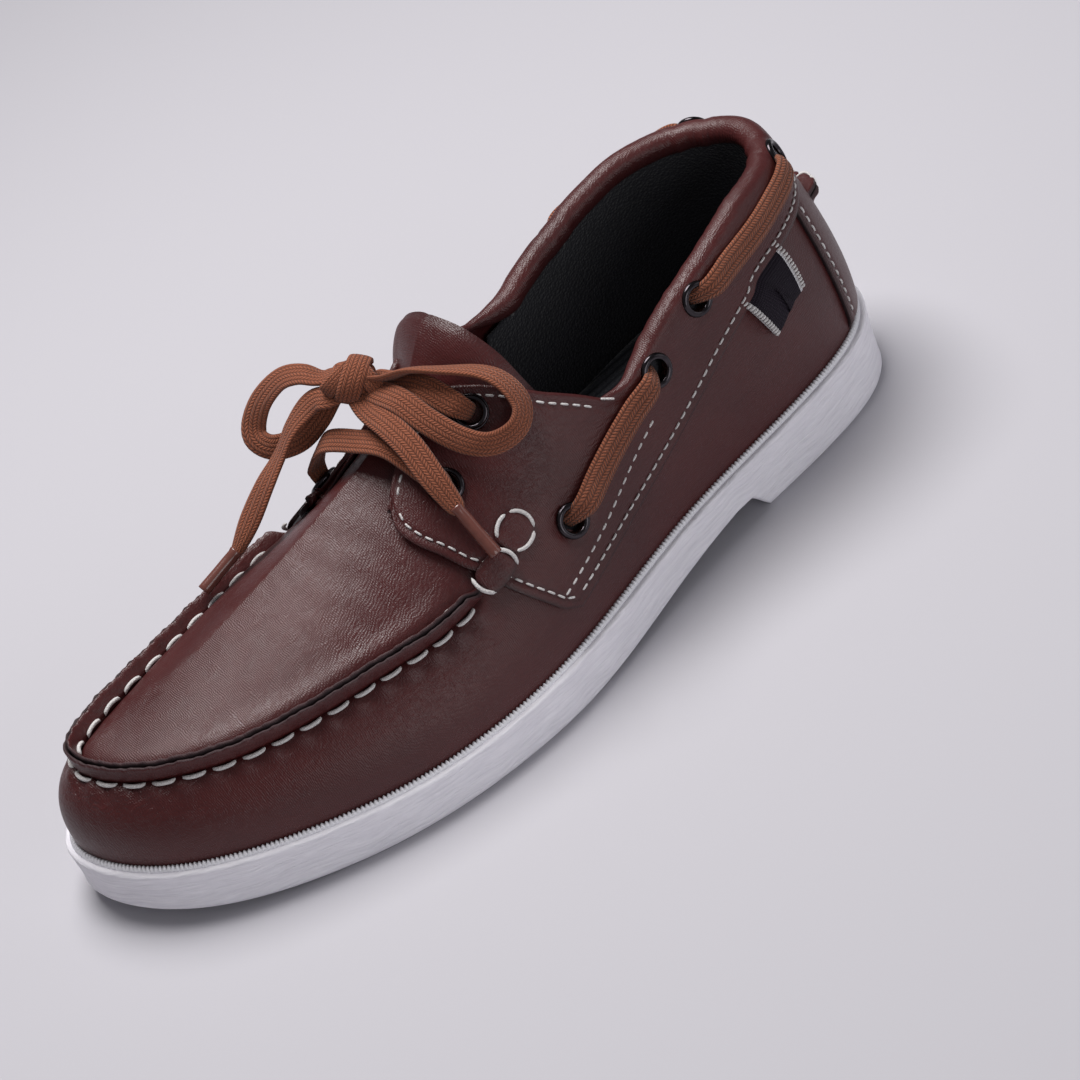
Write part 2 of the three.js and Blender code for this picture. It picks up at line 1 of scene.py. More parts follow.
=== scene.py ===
"""Left boat shoe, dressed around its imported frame. Metres, +Z up, toe towards -Y, outer side towards +X."""

import math

import bmesh
import bpy
import numpy as np
from mathutils import Matrix, Vector


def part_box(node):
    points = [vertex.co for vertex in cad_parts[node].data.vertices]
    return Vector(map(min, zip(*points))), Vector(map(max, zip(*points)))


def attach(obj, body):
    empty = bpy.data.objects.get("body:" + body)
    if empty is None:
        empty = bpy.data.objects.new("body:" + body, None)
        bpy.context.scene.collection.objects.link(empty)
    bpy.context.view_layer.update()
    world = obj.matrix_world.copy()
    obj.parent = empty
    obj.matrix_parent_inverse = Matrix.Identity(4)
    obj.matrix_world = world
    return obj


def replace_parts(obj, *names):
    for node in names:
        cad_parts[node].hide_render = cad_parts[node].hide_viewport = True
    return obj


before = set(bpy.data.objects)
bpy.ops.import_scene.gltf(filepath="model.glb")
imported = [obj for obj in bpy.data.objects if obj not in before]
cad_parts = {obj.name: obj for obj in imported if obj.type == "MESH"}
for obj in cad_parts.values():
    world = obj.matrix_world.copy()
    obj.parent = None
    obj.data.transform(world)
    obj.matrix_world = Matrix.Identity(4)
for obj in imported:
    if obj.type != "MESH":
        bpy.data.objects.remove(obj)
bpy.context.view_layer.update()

# ---------------------------------------------------------------------------------------------
# Camera, light and floor
# A long lens looks down on the outer side, rolled as a hand-held shoe is, over a pale paper
# sweep, with one large soft box above the toe and weaker ones at the sides.
# ---------------------------------------------------------------------------------------------

KNOT = np.array([-0.009, -0.0138, 0.0946])  # middle of the bow's knot, in the last's own axes
knot_low, knot_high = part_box("lace_knot")
SHIFT = np.array((knot_low + knot_high) / 2) - KNOT  # from the last's axes to the frame

CAMERA = {"target": (0.0306, -0.0008, 0.040), "distance": 0.9, "azimuth": 63.0, "elevation": 35.9, "roll": -23.5,
          "lens": 107.25}


def camera_axes(azimuth, elevation, roll):
    """Right, up and back of a camera that looks at its target from (azimuth, elevation), then turned by roll."""
    a, e, r = (math.radians(x) for x in (azimuth, elevation, roll))
    back = np.array([math.sin(a) * math.cos(e), -math.cos(a) * math.cos(e), math.sin(e)])
    right = np.array([math.cos(a), math.sin(a), 0.0])
    up = np.cross(back, right)
    return right * math.cos(r) + up * math.sin(r), up * math.cos(r) - right * math.sin(r), back


RIGHT, UP, BACK = camera_axes(CAMERA["azimuth"], CAMERA["elevation"], CAMERA["roll"])
TARGET = np.array(CAMERA["target"]) + SHIFT


def aim(obj, place, axes):
    """Puts obj at place with its local X, Y and Z along the three axes."""
    turn = Matrix([[float(axes[c][r]) for c in range(3)] for r in range(3)])
    obj.matrix_world = Matrix.Translation(Vector(place)) @ turn.to_4x4()
    bpy.context.scene.collection.objects.link(obj)


lens = bpy.data.cameras.new("camera")
lens.lens = CAMERA["lens"]
lens.sensor_width = 36
lens.clip_start = 0.05
camera = bpy.data.objects.new("camera", lens)
aim(camera, TARGET + BACK * CAMERA["distance"], (RIGHT, UP, BACK))
bpy.context.scene.camera = camera

LIGHTS = [
    # name, direction from the shoe as (right, up, back), distance, size, power, colour
    ("soft_box", (-0.42, 0.80, 0.30), 0.95, 0.60, 12.0, (1.0, 0.985, 0.98)),
    ("front_fill", (0.55, -0.15, 0.90), 1.2, 0.9, 3.8, (0.97, 0.98, 1.0)),
    ("heel_fill", (0.85, 0.45, 0.20), 1.1, 0.7, 0.9, (0.95, 0.97, 1.0)),
]
for name, (side, above, near), distance, size, power, colour in LIGHTS:
    lamp = bpy.data.lights.new(name, "AREA")
    lamp.shape = "DISK"
    lamp.size = size
    lamp.energy = power
    lamp.color = colour
    direction = side * RIGHT + above * UP + near * BACK
    direction = direction / np.linalg.norm(direction)
    across = np.cross([0.0, 0.0, 1.0], direction)
    across = across / np.linalg.norm(across)
    axes = (across, np.cross(direction, across), direction)
    aim(bpy.data.objects.new(name, lamp), TARGET + direction * distance, axes)

world = bpy.data.worlds.new("studio")
world.use_nodes = True
sky = world.node_tree.nodes["Background"]
sky.inputs["Color"].default_value = (0.80, 0.79, 0.83, 1)
sky.inputs["Strength"].default_value = 0.20
bpy.context.scene.world = world
bpy.context.scene.view_settings.view_transform = "Standard"

FLOOR_SIZE = 24.0
floor_mesh = bpy.data.meshes.new("floor")
half = FLOOR_SIZE / 2
floor_mesh.from_pydata([(-half, -half, 0), (half, -half, 0), (half, half, 0), (-half, half, 0)], [], [(0, 1, 2, 3)])
floor = bpy.data.objects.new("floor", floor_mesh)
bpy.context.scene.collection.objects.link(floor)
paper = bpy.data.materials.new("paper_sweep")
paper.use_nodes = True
paper_shader = paper.node_tree.nodes["Principled BSDF"]
paper_shader.inputs["Base Color"].default_value = (0.50, 0.49, 0.525, 1)
paper_shader.inputs["Roughness"].default_value = 0.75
floor_mesh.materials.append(paper)

# ---------------------------------------------------------------------------------------------
# The last
# The foot form that every leather piece is cut on. A rib rises from the sole edge to a point of
# the ridge; stations count ribs from the heel back, positive along the outer side and negative
# along the inner one, so that +11 and -11 are both the toe tip.
# ---------------------------------------------------------------------------------------------

RIB_COLUMNS = ("ridge_x", "ridge_y", "ridge_z", "sole_z", "lat_x", "lat_y", "med_x", "med_y",
               "bulge", "stand", "crown_lat", "crown_med", "droop")
RIB_ROWS = np.array([
    [-0.001, 0.116, 0.128, 0.0216, -0.001, 0.1415, -0.001, 0.1415, 0.003, 0.030, 0.007, 0.007, 0.016],
    [-0.001, 0.112, 0.128, 0.0215, 0.017, 0.1355, -0.019, 0.1355, 0.004, 0.032, 0.011, 0.011, 0.014],
    [-0.001, 0.098, 0.129, 0.0210, 0.0295, 0.1175, -0.032, 0.118, 0.005, 0.036, 0.022, 0.020, 0.008],
    [-0.001, 0.066, 0.130, 0.0197, 0.0345, 0.0835, -0.0355, 0.086, 0.006, 0.040, 0.030, 0.025, 0.004],
    [-0.002, 0.026, 0.119, 0.0177, 0.0375, 0.0432, -0.0315, 0.044, 0.005, 0.036, 0.029, 0.024, 0.003],
    [-0.003, -0.008, 0.087, 0.0160, 0.045, 0.0052, -0.034, 0.006, 0.004, 0.028, 0.026, 0.020, 0.002],
    [-0.005, -0.040, 0.070, 0.0147, 0.0495, -0.028, -0.044, -0.032, 0.004, 0.024, 0.026, 0.015, 0.002],
    [-0.008, -0.070, 0.061, 0.0143, 0.0468, -0.062, -0.051, -0.070, 0.0045, 0.022, 0.026, 0.012, 0.002],
    [-0.011, -0.092, 0.055, 0.0153, 0.037, -0.092, -0.0495, -0.100, 0.004, 0.022, 0.024, 0.011, 0.002],
    [-0.014, -0.107, 0.051, 0.0170, 0.0214, -0.120, -0.044, -0.124, 0.003, 0.022, 0.020, 0.012, 0.002],
    [-0.016, -0.114, 0.0485, 0.0185, 0.0016, -0.1385, -0.035, -0.137, 0.003, 0.022, 0.017, 0.014, 0.002],
    [-0.019, -0.116, 0.048, 0.0192, -0.0205, -0.1445, -0.0205, -0.1445, 0.003, 0.022, 0.016, 0.016, 0.002],
])
TOE = len(RIB_ROWS) - 1
RIBS = 2 * TOE


def spline_controls():
    """Control rows of the closed cubic B-spline through every rib: solves (before + 4 here + after) / 6 = rib."""
    rib = {name: RIB_ROWS[:, k] for k, name in enumerate(RIB_COLUMNS)}
    ridge = (rib["ridge_x"], rib["ridge_y"], rib["ridge_z"], rib["bulge"], rib["stand"])
    lateral = np.stack((rib["lat_x"], rib["lat_y"], rib["sole_z"], *ridge, rib["crown_lat"], rib["droop"]), 1)
    medial = np.stack((rib["med_x"], rib["med_y"], rib["sole_z"], *ridge, rib["crown_med"], rib["droop"]), 1)
    through = np.concatenate((lateral, medial[TOE - 1:0:-1]))
    step = np.eye(RIBS)
    return np.linalg.solve((4 * step + np.roll(step, 1, 0) + np.roll(step, -1, 0)) / 6, through)


CONTROLS = spline_controls()


def last(station, height):
    """Points of the last. Across the stations each rib value is a cubic B-spline. Up a rib the point is the cubic
    Bezier from foot (height 0) to ridge (height 1), with handles out and up from the foot, out and down from the
    ridge."""
    station, height = np.broadcast_arrays(np.asarray(station, float), np.asarray(height, float))
    whole = np.floor(station).astype(int)
    t = station - whole
    weights = np.stack([(1 - t) ** 3, 3 * t**3 - 6 * t**2 + 4, -3 * t**3 + 3 * t**2 + 3 * t + 1, t**3], -1) / 6
    rib = (weights[..., None] * CONTROLS[(whole[..., None] + np.arange(-1, 3)) % RIBS]).sum(-2)
    foot, ridge = rib[..., 0:3], rib[..., 3:6]
    bulge, stand, crown, droop = (rib[..., k:k + 1] for k in (6, 7, 8, 9))
    inward = (ridge - foot) * (1, 1, 0)
    inward = inward / np.linalg.norm(inward, axis=-1, keepdims=True)
    up = np.array([0.0, 0.0, 1.0])
    low_handle = foot - inward * bulge + up * stand
    high_handle = ridge - inward * crown - up * droop
    v = height[..., None]
    return (1 - v)**3 * foot + 3 * v * (1 - v)**2 * low_handle + 3 * v**2 * (1 - v) * high_handle + v**3 * ridge


def unit(vectors):
    """Vectors at length 1."""
    return vectors / np.maximum(np.linalg.norm(vectors, axis=-1, keepdims=True), 1e-12)


def normal(station, height):
    """Outward unit normal: the cross product of the steps up the rib and along the stations."""
    step = 0.01
    along = last(np.add(station, step), height) - last(np.subtract(station, step), height)
    rise = last(station, np.minimum(np.add(height, step), 1)) - last(station, np.maximum(np.subtract(height, step), 0))
    return unit(np.cross(rise, along))


def skin(station, height, lift=0.0):
    """Point of the last moved out by lift along its normal."""
    return last(station, height) + np.asarray(lift)[..., None] * normal(station, height)


def run_length(line):
    """Length along a polyline up to each of its points."""
    return np.concatenate(([0], np.cumsum(np.linalg.norm(np.diff(line, axis=0), axis=1))))


def pick(places, length, line):
    """What a polyline's columns are at places along its length."""
    return np.stack([np.interp(places, length, column) for column in line.T], -1)


def resample(line, count):
    """count points spaced evenly along a polyline."""
    length = run_length(line)
    return pick(np.linspace(0, length[-1], count), length, line)


def even(line, count):
    """A (station, height) line resampled, with a station's step weighed 8 and a whole rib 60, as their lengths are."""
    return resample(line * (8, 60), count) / (8, 60)


def smooth_line(points, count):
    """count even points on the Catmull-Rom curve through points, with its ends doubled."""
    p = np.asarray(points, float)
    p = np.concatenate((2 * p[:1] - p[1:2], p, 2 * p[-1:] - p[-2:-1]))
    t = np.linspace(0, 1, 24, endpoint=False)[None, :, None]
    a, b, c, d = p[:-3, None], p[1:-2, None], p[2:-1, None], p[3:, None]
    curve = 0.5 * (2 * b + (c - a) * t + (2 * a - 5 * b + 4 * c - d) * t**2 + (3 * b - a - 3 * c + d) * t**3)
    return resample(np.concatenate((curve.reshape(-1, p.shape[1]), p[-2:-1])), count)


def on_last(points, axes, side):
    """(station, height) of points drawn in a view, seen along the axis left out of axes: the nearest node of a net
    on that side (1 outer, -1 inner), then Newton steps on the two drawn coordinates."""
    p = np.asarray(points, float)
    nodes = np.stack(np.meshgrid(np.linspace(0.0, 10.5, 106) * side, np.linspace(0.02, 0.98, 49), indexing="ij"), -1)
    net = last(nodes[..., 0], nodes[..., 1])[..., axes].reshape(-1, 2)
    place = nodes.reshape(-1, 2)[((net[None] - p[:, None])**2).sum(-1).argmin(1)].copy()
    for _ in range(8):
        here = last(place[:, 0], place[:, 1])[:, axes]
        by_station = (last(place[:, 0] + 1e-4, place[:, 1])[:, axes] - here) / 1e-4
        by_height = (last(place[:, 0], place[:, 1] + 1e-4)[:, axes] - here) / 1e-4
        slope = np.stack((by_station, by_height), -1) + 1e-9 * np.eye(2)
        move = np.linalg.solve(slope, (p - here)[..., None])[..., 0]
        place += np.clip(move, (-0.2, -0.05), (0.2, 0.05))
        place[:, 1] = np.clip(place[:, 1], 0, 1)
    return place


SIDE_VIEW, PLAN = [1, 2], [0, 1]


def moved(line, distance):
    """A (station, height) line moved over the surface by distance to the left of its run, seen from outside."""
    distance = np.broadcast_to(distance, len(line))[:, None]
    point = last(line[:, 0], line[:, 1])
    run = unit(np.gradient(point, axis=0))
    left = np.cross(normal(line[:, 0], line[:, 1]), run)
    by_station = (last(line[:, 0] + 1e-3, line[:, 1]) - point) / 1e-3
    by_height = (last(line[:, 0], line[:, 1] + 1e-3) - point) / 1e-3
    slope = np.stack((by_station, by_height), -1)
    square = np.einsum("nki,nkj->nij", slope, slope)
    return line + np.linalg.solve(square, np.einsum("nki,nk->ni", slope, left * distance)[..., None])[..., 0]


def smoothstep(low, high, x):
    """0 below low, 1 above high, and 3 t^2 - 2 t^3 between."""
    t = np.clip((np.asarray(x, float) - low) / (high - low), 0, 1)
    return t * t * (3 - 2 * t)


# ---------------------------------------------------------------------------------------------
# The bow
# One flat braided cotton lace, 7.6 mm wide. The two loops and the two ends leave a hard knot
# over the tongue; each end is closed by a shrunk plastic aglet.
# ---------------------------------------------------------------------------------------------

LACE_WIDTH, LACE_THICK = 0.0076, 0.0019


def add_piece(name, points, faces, materials, kinds=None, smooth=True):
    """A mesh piece riding on the shoe: points in the last's axes, a material number for each face in kinds."""
    mesh = bpy.data.meshes.new(name)
    points = np.asarray(points, float).reshape(-1, 3) + SHIFT
    mesh.from_pydata(points.tolist(), [], [tuple(f) for f in np.asarray(faces).tolist()])
    for material in materials:
        mesh.materials.append(material)
    if kinds is not None:
        mesh.polygons.foreach_set("material_index", np.asarray(kinds, np.int32))
    mesh.polygons.foreach_set("use_smooth", np.full(len(mesh.polygons), smooth))
    mesh.update()
    piece = bpy.data.objects.new(name, mesh)
    bpy.context.scene.collection.objects.link(piece)
    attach(piece, "root")
    return piece


def grid_faces(rows, cols, close_rows=False, close_cols=False):
    """Quads of a grid numbered row by row, joined round where asked."""
    i, j = np.meshgrid(np.arange(rows if close_rows else rows - 1), np.arange(cols if close_cols else cols - 1),
                       indexing="ij")
    i, j = i.ravel(), j.ravel()
    k, m = (i + 1) % rows, (j + 1) % cols
    return np.stack((i * cols + j, i * cols + m, k * cols + m, k * cols + j), 1)


def edit_mesh(piece, join=0.0, caps=(), close=False, outwards=True):
    """Joins a mesh's points that are closer than join, adds the faces that caps lists, closes what is still open
    where asked, and turns the faces of a closed shape out."""
    shape = bmesh.new()
    shape.from_mesh(piece.data)
    if join:
        bmesh.ops.remove_doubles(shape, verts=shape.verts, dist=join)
    shape.verts.ensure_lookup_table()
    for cap in caps:
        shape.faces.new([shape.verts[k] for k in cap]).smooth = True
    if close:
        bmesh.ops.holes_fill(shape, edges=[e for e in shape.edges if e.is_boundary])
    if outwards:
        bmesh.ops.recalc_face_normals(shape, faces=shape.faces)
    shape.to_mesh(piece.data)
    shape.free()
    return piece


def set_uv(piece, per_vertex):
    """Writes a UV for each vertex to the piece's own map."""
    layer = piece.data.uv_layers.new(name="weave")
    corner = np.zeros(len(piece.data.loops), np.int32)
    piece.data.loops.foreach_get("vertex_index", corner)
    layer.data.foreach_set("uv", np.asarray(per_vertex, np.float32)[corner].ravel())


def ribbon(name, route, facing, material, width=LACE_WIDTH, thick=LACE_THICK, step=0.0011, ring=20):
    """Flat lace along the Catmull-Rom curve through route. The cross-section is the superellipse
    |x / half width|^2.6 + |y / half thickness|^2 = 1, whose broad side looks along facing, made square to the run.
    width and thick may be lists, one value for each point of route. Returns the piece and its centre line."""
    route, facing = np.asarray(route, float), np.asarray(facing, float)
    sizes = np.stack((np.broadcast_to(width, len(route)), np.broadcast_to(thick, len(route))), 1)
    count = int(np.linalg.norm(np.diff(route, axis=0), axis=1).sum() / step) + 2
    line = smooth_line(np.concatenate((route, facing * 0.001, sizes), 1), count)
    centre, look, size = line[:, :3], line[:, 3:6], line[:, 6:8]
    run = unit(np.gradient(centre, axis=0))
    look = unit(look - (look * run).sum(1, keepdims=True) * run)
    side = np.cross(run, look)
    angle = np.linspace(0, 2 * np.pi, ring, endpoint=False)
    across = np.sign(np.cos(angle)) * np.abs(np.cos(angle))**0.77 / 2
    deep = np.sin(angle) / 2
    section = (across[None, :, None] * size[:, None, 0:1] * side[:, None] + deep[None, :, None] * size[:, None, 1:2]
               * look[:, None])
    points = (centre[:, None] + section).reshape(-1, 3)
    faces = grid_faces(count, ring, close_cols=True)[:, ::-1]
    caps = [list(range(ring)), list(range(count * ring - 1, (count - 1) * ring - 1, -1))]
    piece = edit_mesh(add_piece(name, points, faces, [material]), caps=caps)
    length = run_length(centre)
    set_uv(piece, np.stack((np.tile(across, count), np.repeat(length, ring) / LACE_WIDTH), 1))
    return piece, centre


def node(material, kind, **inputs):
    """A shader node with some of its sockets set: a value sets it, a socket links to it."""
    made = material.nodes.new(kind)
    for name, value in inputs.items():
        socket = made.inputs[int(name[1:])] if name[0] == "_" else made.inputs[name.replace("_", " ")]
        if isinstance(value, bpy.types.NodeSocket):
            material.links.new(value, socket)
        else:
            socket.default_value = value
    return made


def maths(tree, operation, a, b=0.0, clamp=False):
    """The result socket of one Math node."""
    made = node(tree, "ShaderNodeMath", _0=a, _1=b)
    made.operation = operation
    made.use_clamp = clamp
    return made.outputs[0]


def mix_colours(tree, factor, a, b):
    """The result socket of a colour mix."""
    made = tree.nodes.new("ShaderNodeMix")
    made.data_type = "RGBA"
    for socket, value in ((made.inputs[0], factor), (made.inputs[6], a), (made.inputs[7], b)):
        if isinstance(value, bpy.types.NodeSocket):
            tree.links.new(value, socket)
        else:
            socket.default_value = value
    return made.outputs[2]


def new_material(name, **shader):
    """A material with its Principled shader's plain values set. Returns (material, tree, shader)."""
    material = bpy.data.materials.new(name)
    material.use_nodes = True
    tree = material.node_tree
    surface = tree.nodes["Principled BSDF"]
    for socket, value in shader.items():
        surface.inputs[socket.replace("_", " ")].default_value = value
    return material, tree, surface


def bump(tree, surface, height, distance, strength=1.0):
    """Height to the shader's normal."""
    made = node(tree, "ShaderNodeBump", Strength=strength, Distance=distance, Height=height)
    tree.links.new(made.outputs["Normal"], surface.inputs["Normal"])


def noise(tree, scale, **inputs):
    """The value socket of a noise texture that is fixed to the piece."""
    place = tree.nodes.new("ShaderNodeTexCoord").outputs["Object"]
    return node(tree, "ShaderNodeTexNoise", Vector=place, Scale=scale, **inputs).outputs["Fac"]


def paint(tree, surface, share, low, high):
    """Base colour: low where share is 0, high where it is 1."""
    tree.links.new(mix_colours(tree, share, (*low, 1), (*high, 1)), surface.inputs["Base Color"])


def new_group(name, inputs, outputs):
    """An empty node group with plain number sockets. Returns (group, its input node, its output node)."""
    group = bpy.data.node_groups.new(name, "ShaderNodeTree")
    for way, sockets in (("INPUT", inputs), ("OUTPUT", outputs)):
        for socket in sockets:
            group.interface.new_socket(socket, in_out=way, socket_type="NodeSocketFloat")
    return group, group.nodes.new("NodeGroupInput"), group.nodes.new("NodeGroupOutput")


def grouped(tree, group, socket, value):
    """A node that holds a group, with its one input set."""
    made = tree.nodes.new("ShaderNodeGroup")
    made.node_tree = group
    made.inputs[socket].default_value = value
    return made


def braid_group():
    """Braided lace: wales along the lace, each a row of slanting stitches, mirrored from wale to wale. Puts out their
    height, and a tone that is dark between the stitches, as painted shade in the hollows of the braid."""
    group, inside, out = new_group("braid", ["Wales"], ["Height", "Tone"])
    uv = group.nodes.new("ShaderNodeUVMap")
    uv.uv_map = "weave"
    split = node(group, "ShaderNodeSeparateXYZ", Vector=uv.outputs[0])
    across = maths(group, "MULTIPLY", split.outputs["X"], inside.outputs["Wales"])
    wale = maths(group, "ABSOLUTE", maths(group, "SINE", maths(group, "MULTIPLY", across, math.pi)))
    slant = maths(group, "PINGPONG", across, 1.0)
    courses = maths(group, "MULTIPLY", split.outputs["Y"], 7.5)
    along = maths(group, "ADD", courses, maths(group, "MULTIPLY", slant, 1.1))
    stitch = maths(group, "ABSOLUTE", maths(group, "SINE", maths(group, "MULTIPLY", along, math.pi)))
    knit = maths(group, "MULTIPLY", maths(group, "POWER", wale, 0.55), maths(group, "POWER", stitch, 0.5))
    fuzz = noise(group, 2600.0, Detail=2.0)
    group.links.new(maths(group, "ADD", knit, maths(group, "MULTIPLY", fuzz, 0.35)), out.inputs["Height"])
    group.links.new(maths(group, "MULTIPLY", knit, fuzz, clamp=True), out.inputs["Tone"])
    return group


BRAID = braid_group()


def braided(name, wales, dark, light, gain, power, depth, **shader):
    """Braided cotton: from dark to light as (gain * tone)^power, each of the two a cloudy mix of a pair. The dark is
    painted shade between the stitches.
    """
    material, tree, surface = new_material(name, Specular_IOR_Level=0.25, Sheen_Weight=0.10, **shader)
    braid = grouped(tree, BRAID, "Wales", wales)
    cloud = noise(tree, 90.0)
    dark, light = (mix_colours(tree, cloud, (*low, 1), (*high, 1)) for low, high in (dark, light))
    # Painted shade: dark between the stitches, light on their tops.
    tone = maths(tree, "POWER", maths(tree, "MULTIPLY", braid.outputs["Tone"], gain, clamp=True), power)
    tree.links.new(mix_colours(tree, tone, dark, light), surface.inputs["Base Color"])
    bump(tree, surface, braid.outputs["Height"], depth)
    return material


lace_cotton = braided("lace_cotton", 6.0, ((0.070, 0.020, 0.010), (0.105, 0.030, 0.014)),
                      ((0.29, 0.088, 0.043), (0.37, 0.118, 0.058)), 1.7, 0.8, 0.00035, Roughness=0.82,
                      Sheen_Roughness=0.5)

aglet_film, tree, surface = new_material("aglet_film", Roughness=0.22, Coat_Weight=0.4, Coat_Roughness=0.1)
scuffs = noise(tree, 700.0)
paint(tree, surface, scuffs, (0.105, 0.034, 0.026), (0.165, 0.055, 0.041))
bump(tree, surface, scuffs, 0.00003)

# The routes of the bow, each point with the way its broad side looks, as (right, up, back) shares.
BOW = {
    "lace_loop_lateral": {
        "route": [(-0.0070, -0.0120, 0.0945), (-0.0012, -0.0090, 0.0940), (0.0056, -0.0043, 0.0955),
                  (0.0130, 0.0004, 0.0947), (0.0216, 0.0072, 0.0920), (0.0271, 0.0103, 0.0876),
                  (0.0315, 0.0102, 0.0812), (0.0333, 0.0050, 0.0774), (0.0304, -0.0024, 0.0766),
                  (0.0248, -0.0074, 0.0797), (0.0170, -0.0106, 0.0856), (0.0080, -0.0118, 0.0910),
                  (-0.0006, -0.0124, 0.0916), (-0.0070, -0.0130, 0.0925)],
        "facing": [(0, 1, 0), (0, 1, 0), (0, 1, 0.1), (0.1, 1, 0.3), (0.5, 0.7, 0.5), (0.8, 0.3, 0.7),
                   (0.8, -0.2, 0.8), (0.4, -0.6, 0.9), (0, -0.6, 1), (-0.1, -0.3, 1), (-0.1, 0, 1), (0, 0.1, 1),
                   (0, 0.2, 1), (0, 0.3, 1)],
        "end": "object",
    },
    "lace_loop_medial": {
        "route": [(-0.0110, -0.0140, 0.0945), (-0.0166, -0.0152, 0.0948), (-0.0200, -0.0180, 0.0944),
                  (-0.0250, -0.0208, 0.0962), (-0.0310, -0.0245, 0.0950), (-0.0360, -0.0301, 0.0900),
                  (-0.0380, -0.0347, 0.0837), (-0.0360, -0.0365, 0.0801), (-0.0310, -0.0348, 0.0780),
                  (-0.0250, -0.0295, 0.0792), (-0.0206, -0.0235, 0.0840), (-0.0172, -0.0176, 0.0902),
                  (-0.0120, -0.0150, 0.0925)],
        "facing": [(0, 0.8, 0.6), (0, 0.8, 0.6), (0, 0.8, 0.6), (-0.2, 0.6, 0.8), (-0.5, 0.3, 0.8), (-0.5, 0, 0.9),
                   (-0.3, -0.3, 1), (0, -0.4, 1), (0, -0.3, 1), (0, -0.2, 1), (0, 0, 1), (0, 0, 1), (0, 0.2, 1)],
        "end": "object",
    },
    "lace_end_lateral": {
        "route": [(-0.0100, -0.0150, 0.0930), (-0.0016, -0.0176, 0.0894), (0.0086, -0.0184, 0.0874),
                  (0.0170, -0.0190, 0.0834), (0.0250, -0.0204, 0.0764), (0.0306, -0.0206, 0.0690),
                  (0.0322, -0.0206, 0.0669)],
        "facing": [(0, 0.2, 1), (0, 0.1, 1), (0, 0, 1), (0, 0, 1), (-0.1, 0, 1), (-0.1, 0, 1), (0, 0, 1)],
        "width": [0.0060, 0.0068, 0.0076, 0.0079, 0.0076, 0.0058, 0.0034],
        "thick": [0.0020, 0.0019, 0.0019, 0.0019, 0.0020, 0.0026, 0.0034],
        "end": "fitting",
    },
    "lace_end_medial": {
        "route": [(-0.0090, -0.0160, 0.0935), (-0.0130, -0.0214, 0.0924), (-0.0174, -0.0232, 0.0914),
                  (-0.0206, -0.0266, 0.0889), (-0.0230, -0.0318, 0.0849), (-0.0250, -0.0370, 0.0790),
                  (-0.0260, -0.0447, 0.0735), (-0.0270, -0.0530, 0.0666), (-0.0275, -0.0594, 0.0614),
                  (-0.0277, -0.0612, 0.0604)],
        "facing": [(0, 0.4, 1), (-0.1, 0.4, 1), (-0.4, 0.2, 0.8), (-0.8, 0, 0.7), (-0.9, 0.1, 0.5), (-0.9, 0.2, 0.5),
                   (-0.7, 0.2, 0.8), (-0.5, 0.1, 1), (-0.3, 0, 1), (0, 0, 1)],
        "width": [0.0064, 0.0068, 0.0072, 0.0074, 0.0076, 0.0076, 0.0076, 0.0070, 0.0044, 0.0034],
        "thick": [0.0020, 0.0019, 0.0019, 0.0019, 0.0019, 0.0019, 0.0019, 0.0021, 0.0030, 0.0034],
        "end": "fitting",
    },
}
AGLETS = {"lateral": ((0.0310, -0.0206, 0.0684), (0.0420, -0.0206, 0.0552)),
          "medial": ((-0.0276, -0.0606, 0.0608), (-0.0290, -0.0744, 0.0562))}
AGLET_SIDES = 28


def looking(shares):
    """World directions of (right, up, back) shares."""
    return np.asarray(shares, float) @ np.stack((RIGHT, UP, BACK))


def aglet(name, start, end):
    """Shrunk tip: a tube of revolution, drawn in by 0.2 mm behind its lip, with a lapped seam and a hollow end."""
    start, end = np.asarray(start), np.asarray(end)
    run = unit(end - start)
    profile = np.array([(0.0, 0.0015), (0.0, 0.0019), (0.03, 0.0020), (0.10, 0.00175), (0.30, 0.0018), (0.60, 0.0018),
                        (0.92, 0.0019), (0.99, 0.0019), (1.0, 0.0018), (1.0, 0.0012), (0.95, 0.0011), (0.94, 0.0)])
    side = unit(np.cross(run, BACK))
    angle = np.linspace(0, 2 * np.pi, AGLET_SIDES, endpoint=False)
    lap = 1 + 0.06 * smoothstep(0.0, 0.35, angle) * (angle < 5.9)
    radial = np.cos(angle)[:, None] * side + np.sin(angle)[:, None] * np.cross(run, side)
    reach = np.linalg.norm(end - start)
    points = (start + profile[:, None, 0:1] * reach * run + profile[:, None, 1:2] * (lap[:, None] * radial)[None])
    faces = grid_faces(len(profile), AGLET_SIDES, close_cols=True)
    return edit_mesh(add_piece(name, points, faces, [aglet_film]), join=1e-6, close=True)


aglets = {side: aglet(f"aglet_tip_{side}", *ends) for side, ends in AGLETS.items()}
for side, tip in aglets.items():
    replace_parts(tip, f"aglet_{side}")
for name, part in BOW.items():
    piece, centre = ribbon(f"{name}_braided", part["route"], looking(part["facing"]), lace_cotton,
                           part.get("width", LACE_WIDTH), part.get("thick", LACE_THICK))
    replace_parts(piece, name)
    reach = float(np.linalg.norm(np.diff(centre, axis=0), axis=1).sum())

# ---------------------------------------------------------------------------------------------
# The outsole
# One moulded white rubber cup sole: side wall with a drawn, wavy grain, a smooth bead, a finely
# toothed lip that the leather sits behind, a siped tread and a low heel block.
# ---------------------------------------------------------------------------------------------

SOLE_BEAD, SOLE_GAP, HEEL_BREAST = 0.0036, 0.0003, 0.070


def foot_line(station, offset):
    """Foot of the last moved outwards in plan by offset, square to the foot line."""
    along = unit((last(np.add(station, 0.02), 0.0) - last(np.subtract(station, 0.02), 0.0)) * (1, 1, 0))
    out = np.stack((-along[..., 1], along[..., 0], np.zeros_like(along[..., 0])), -1)
    return last(station, 0.0) + out * np.asarray(offset, float)[..., None]


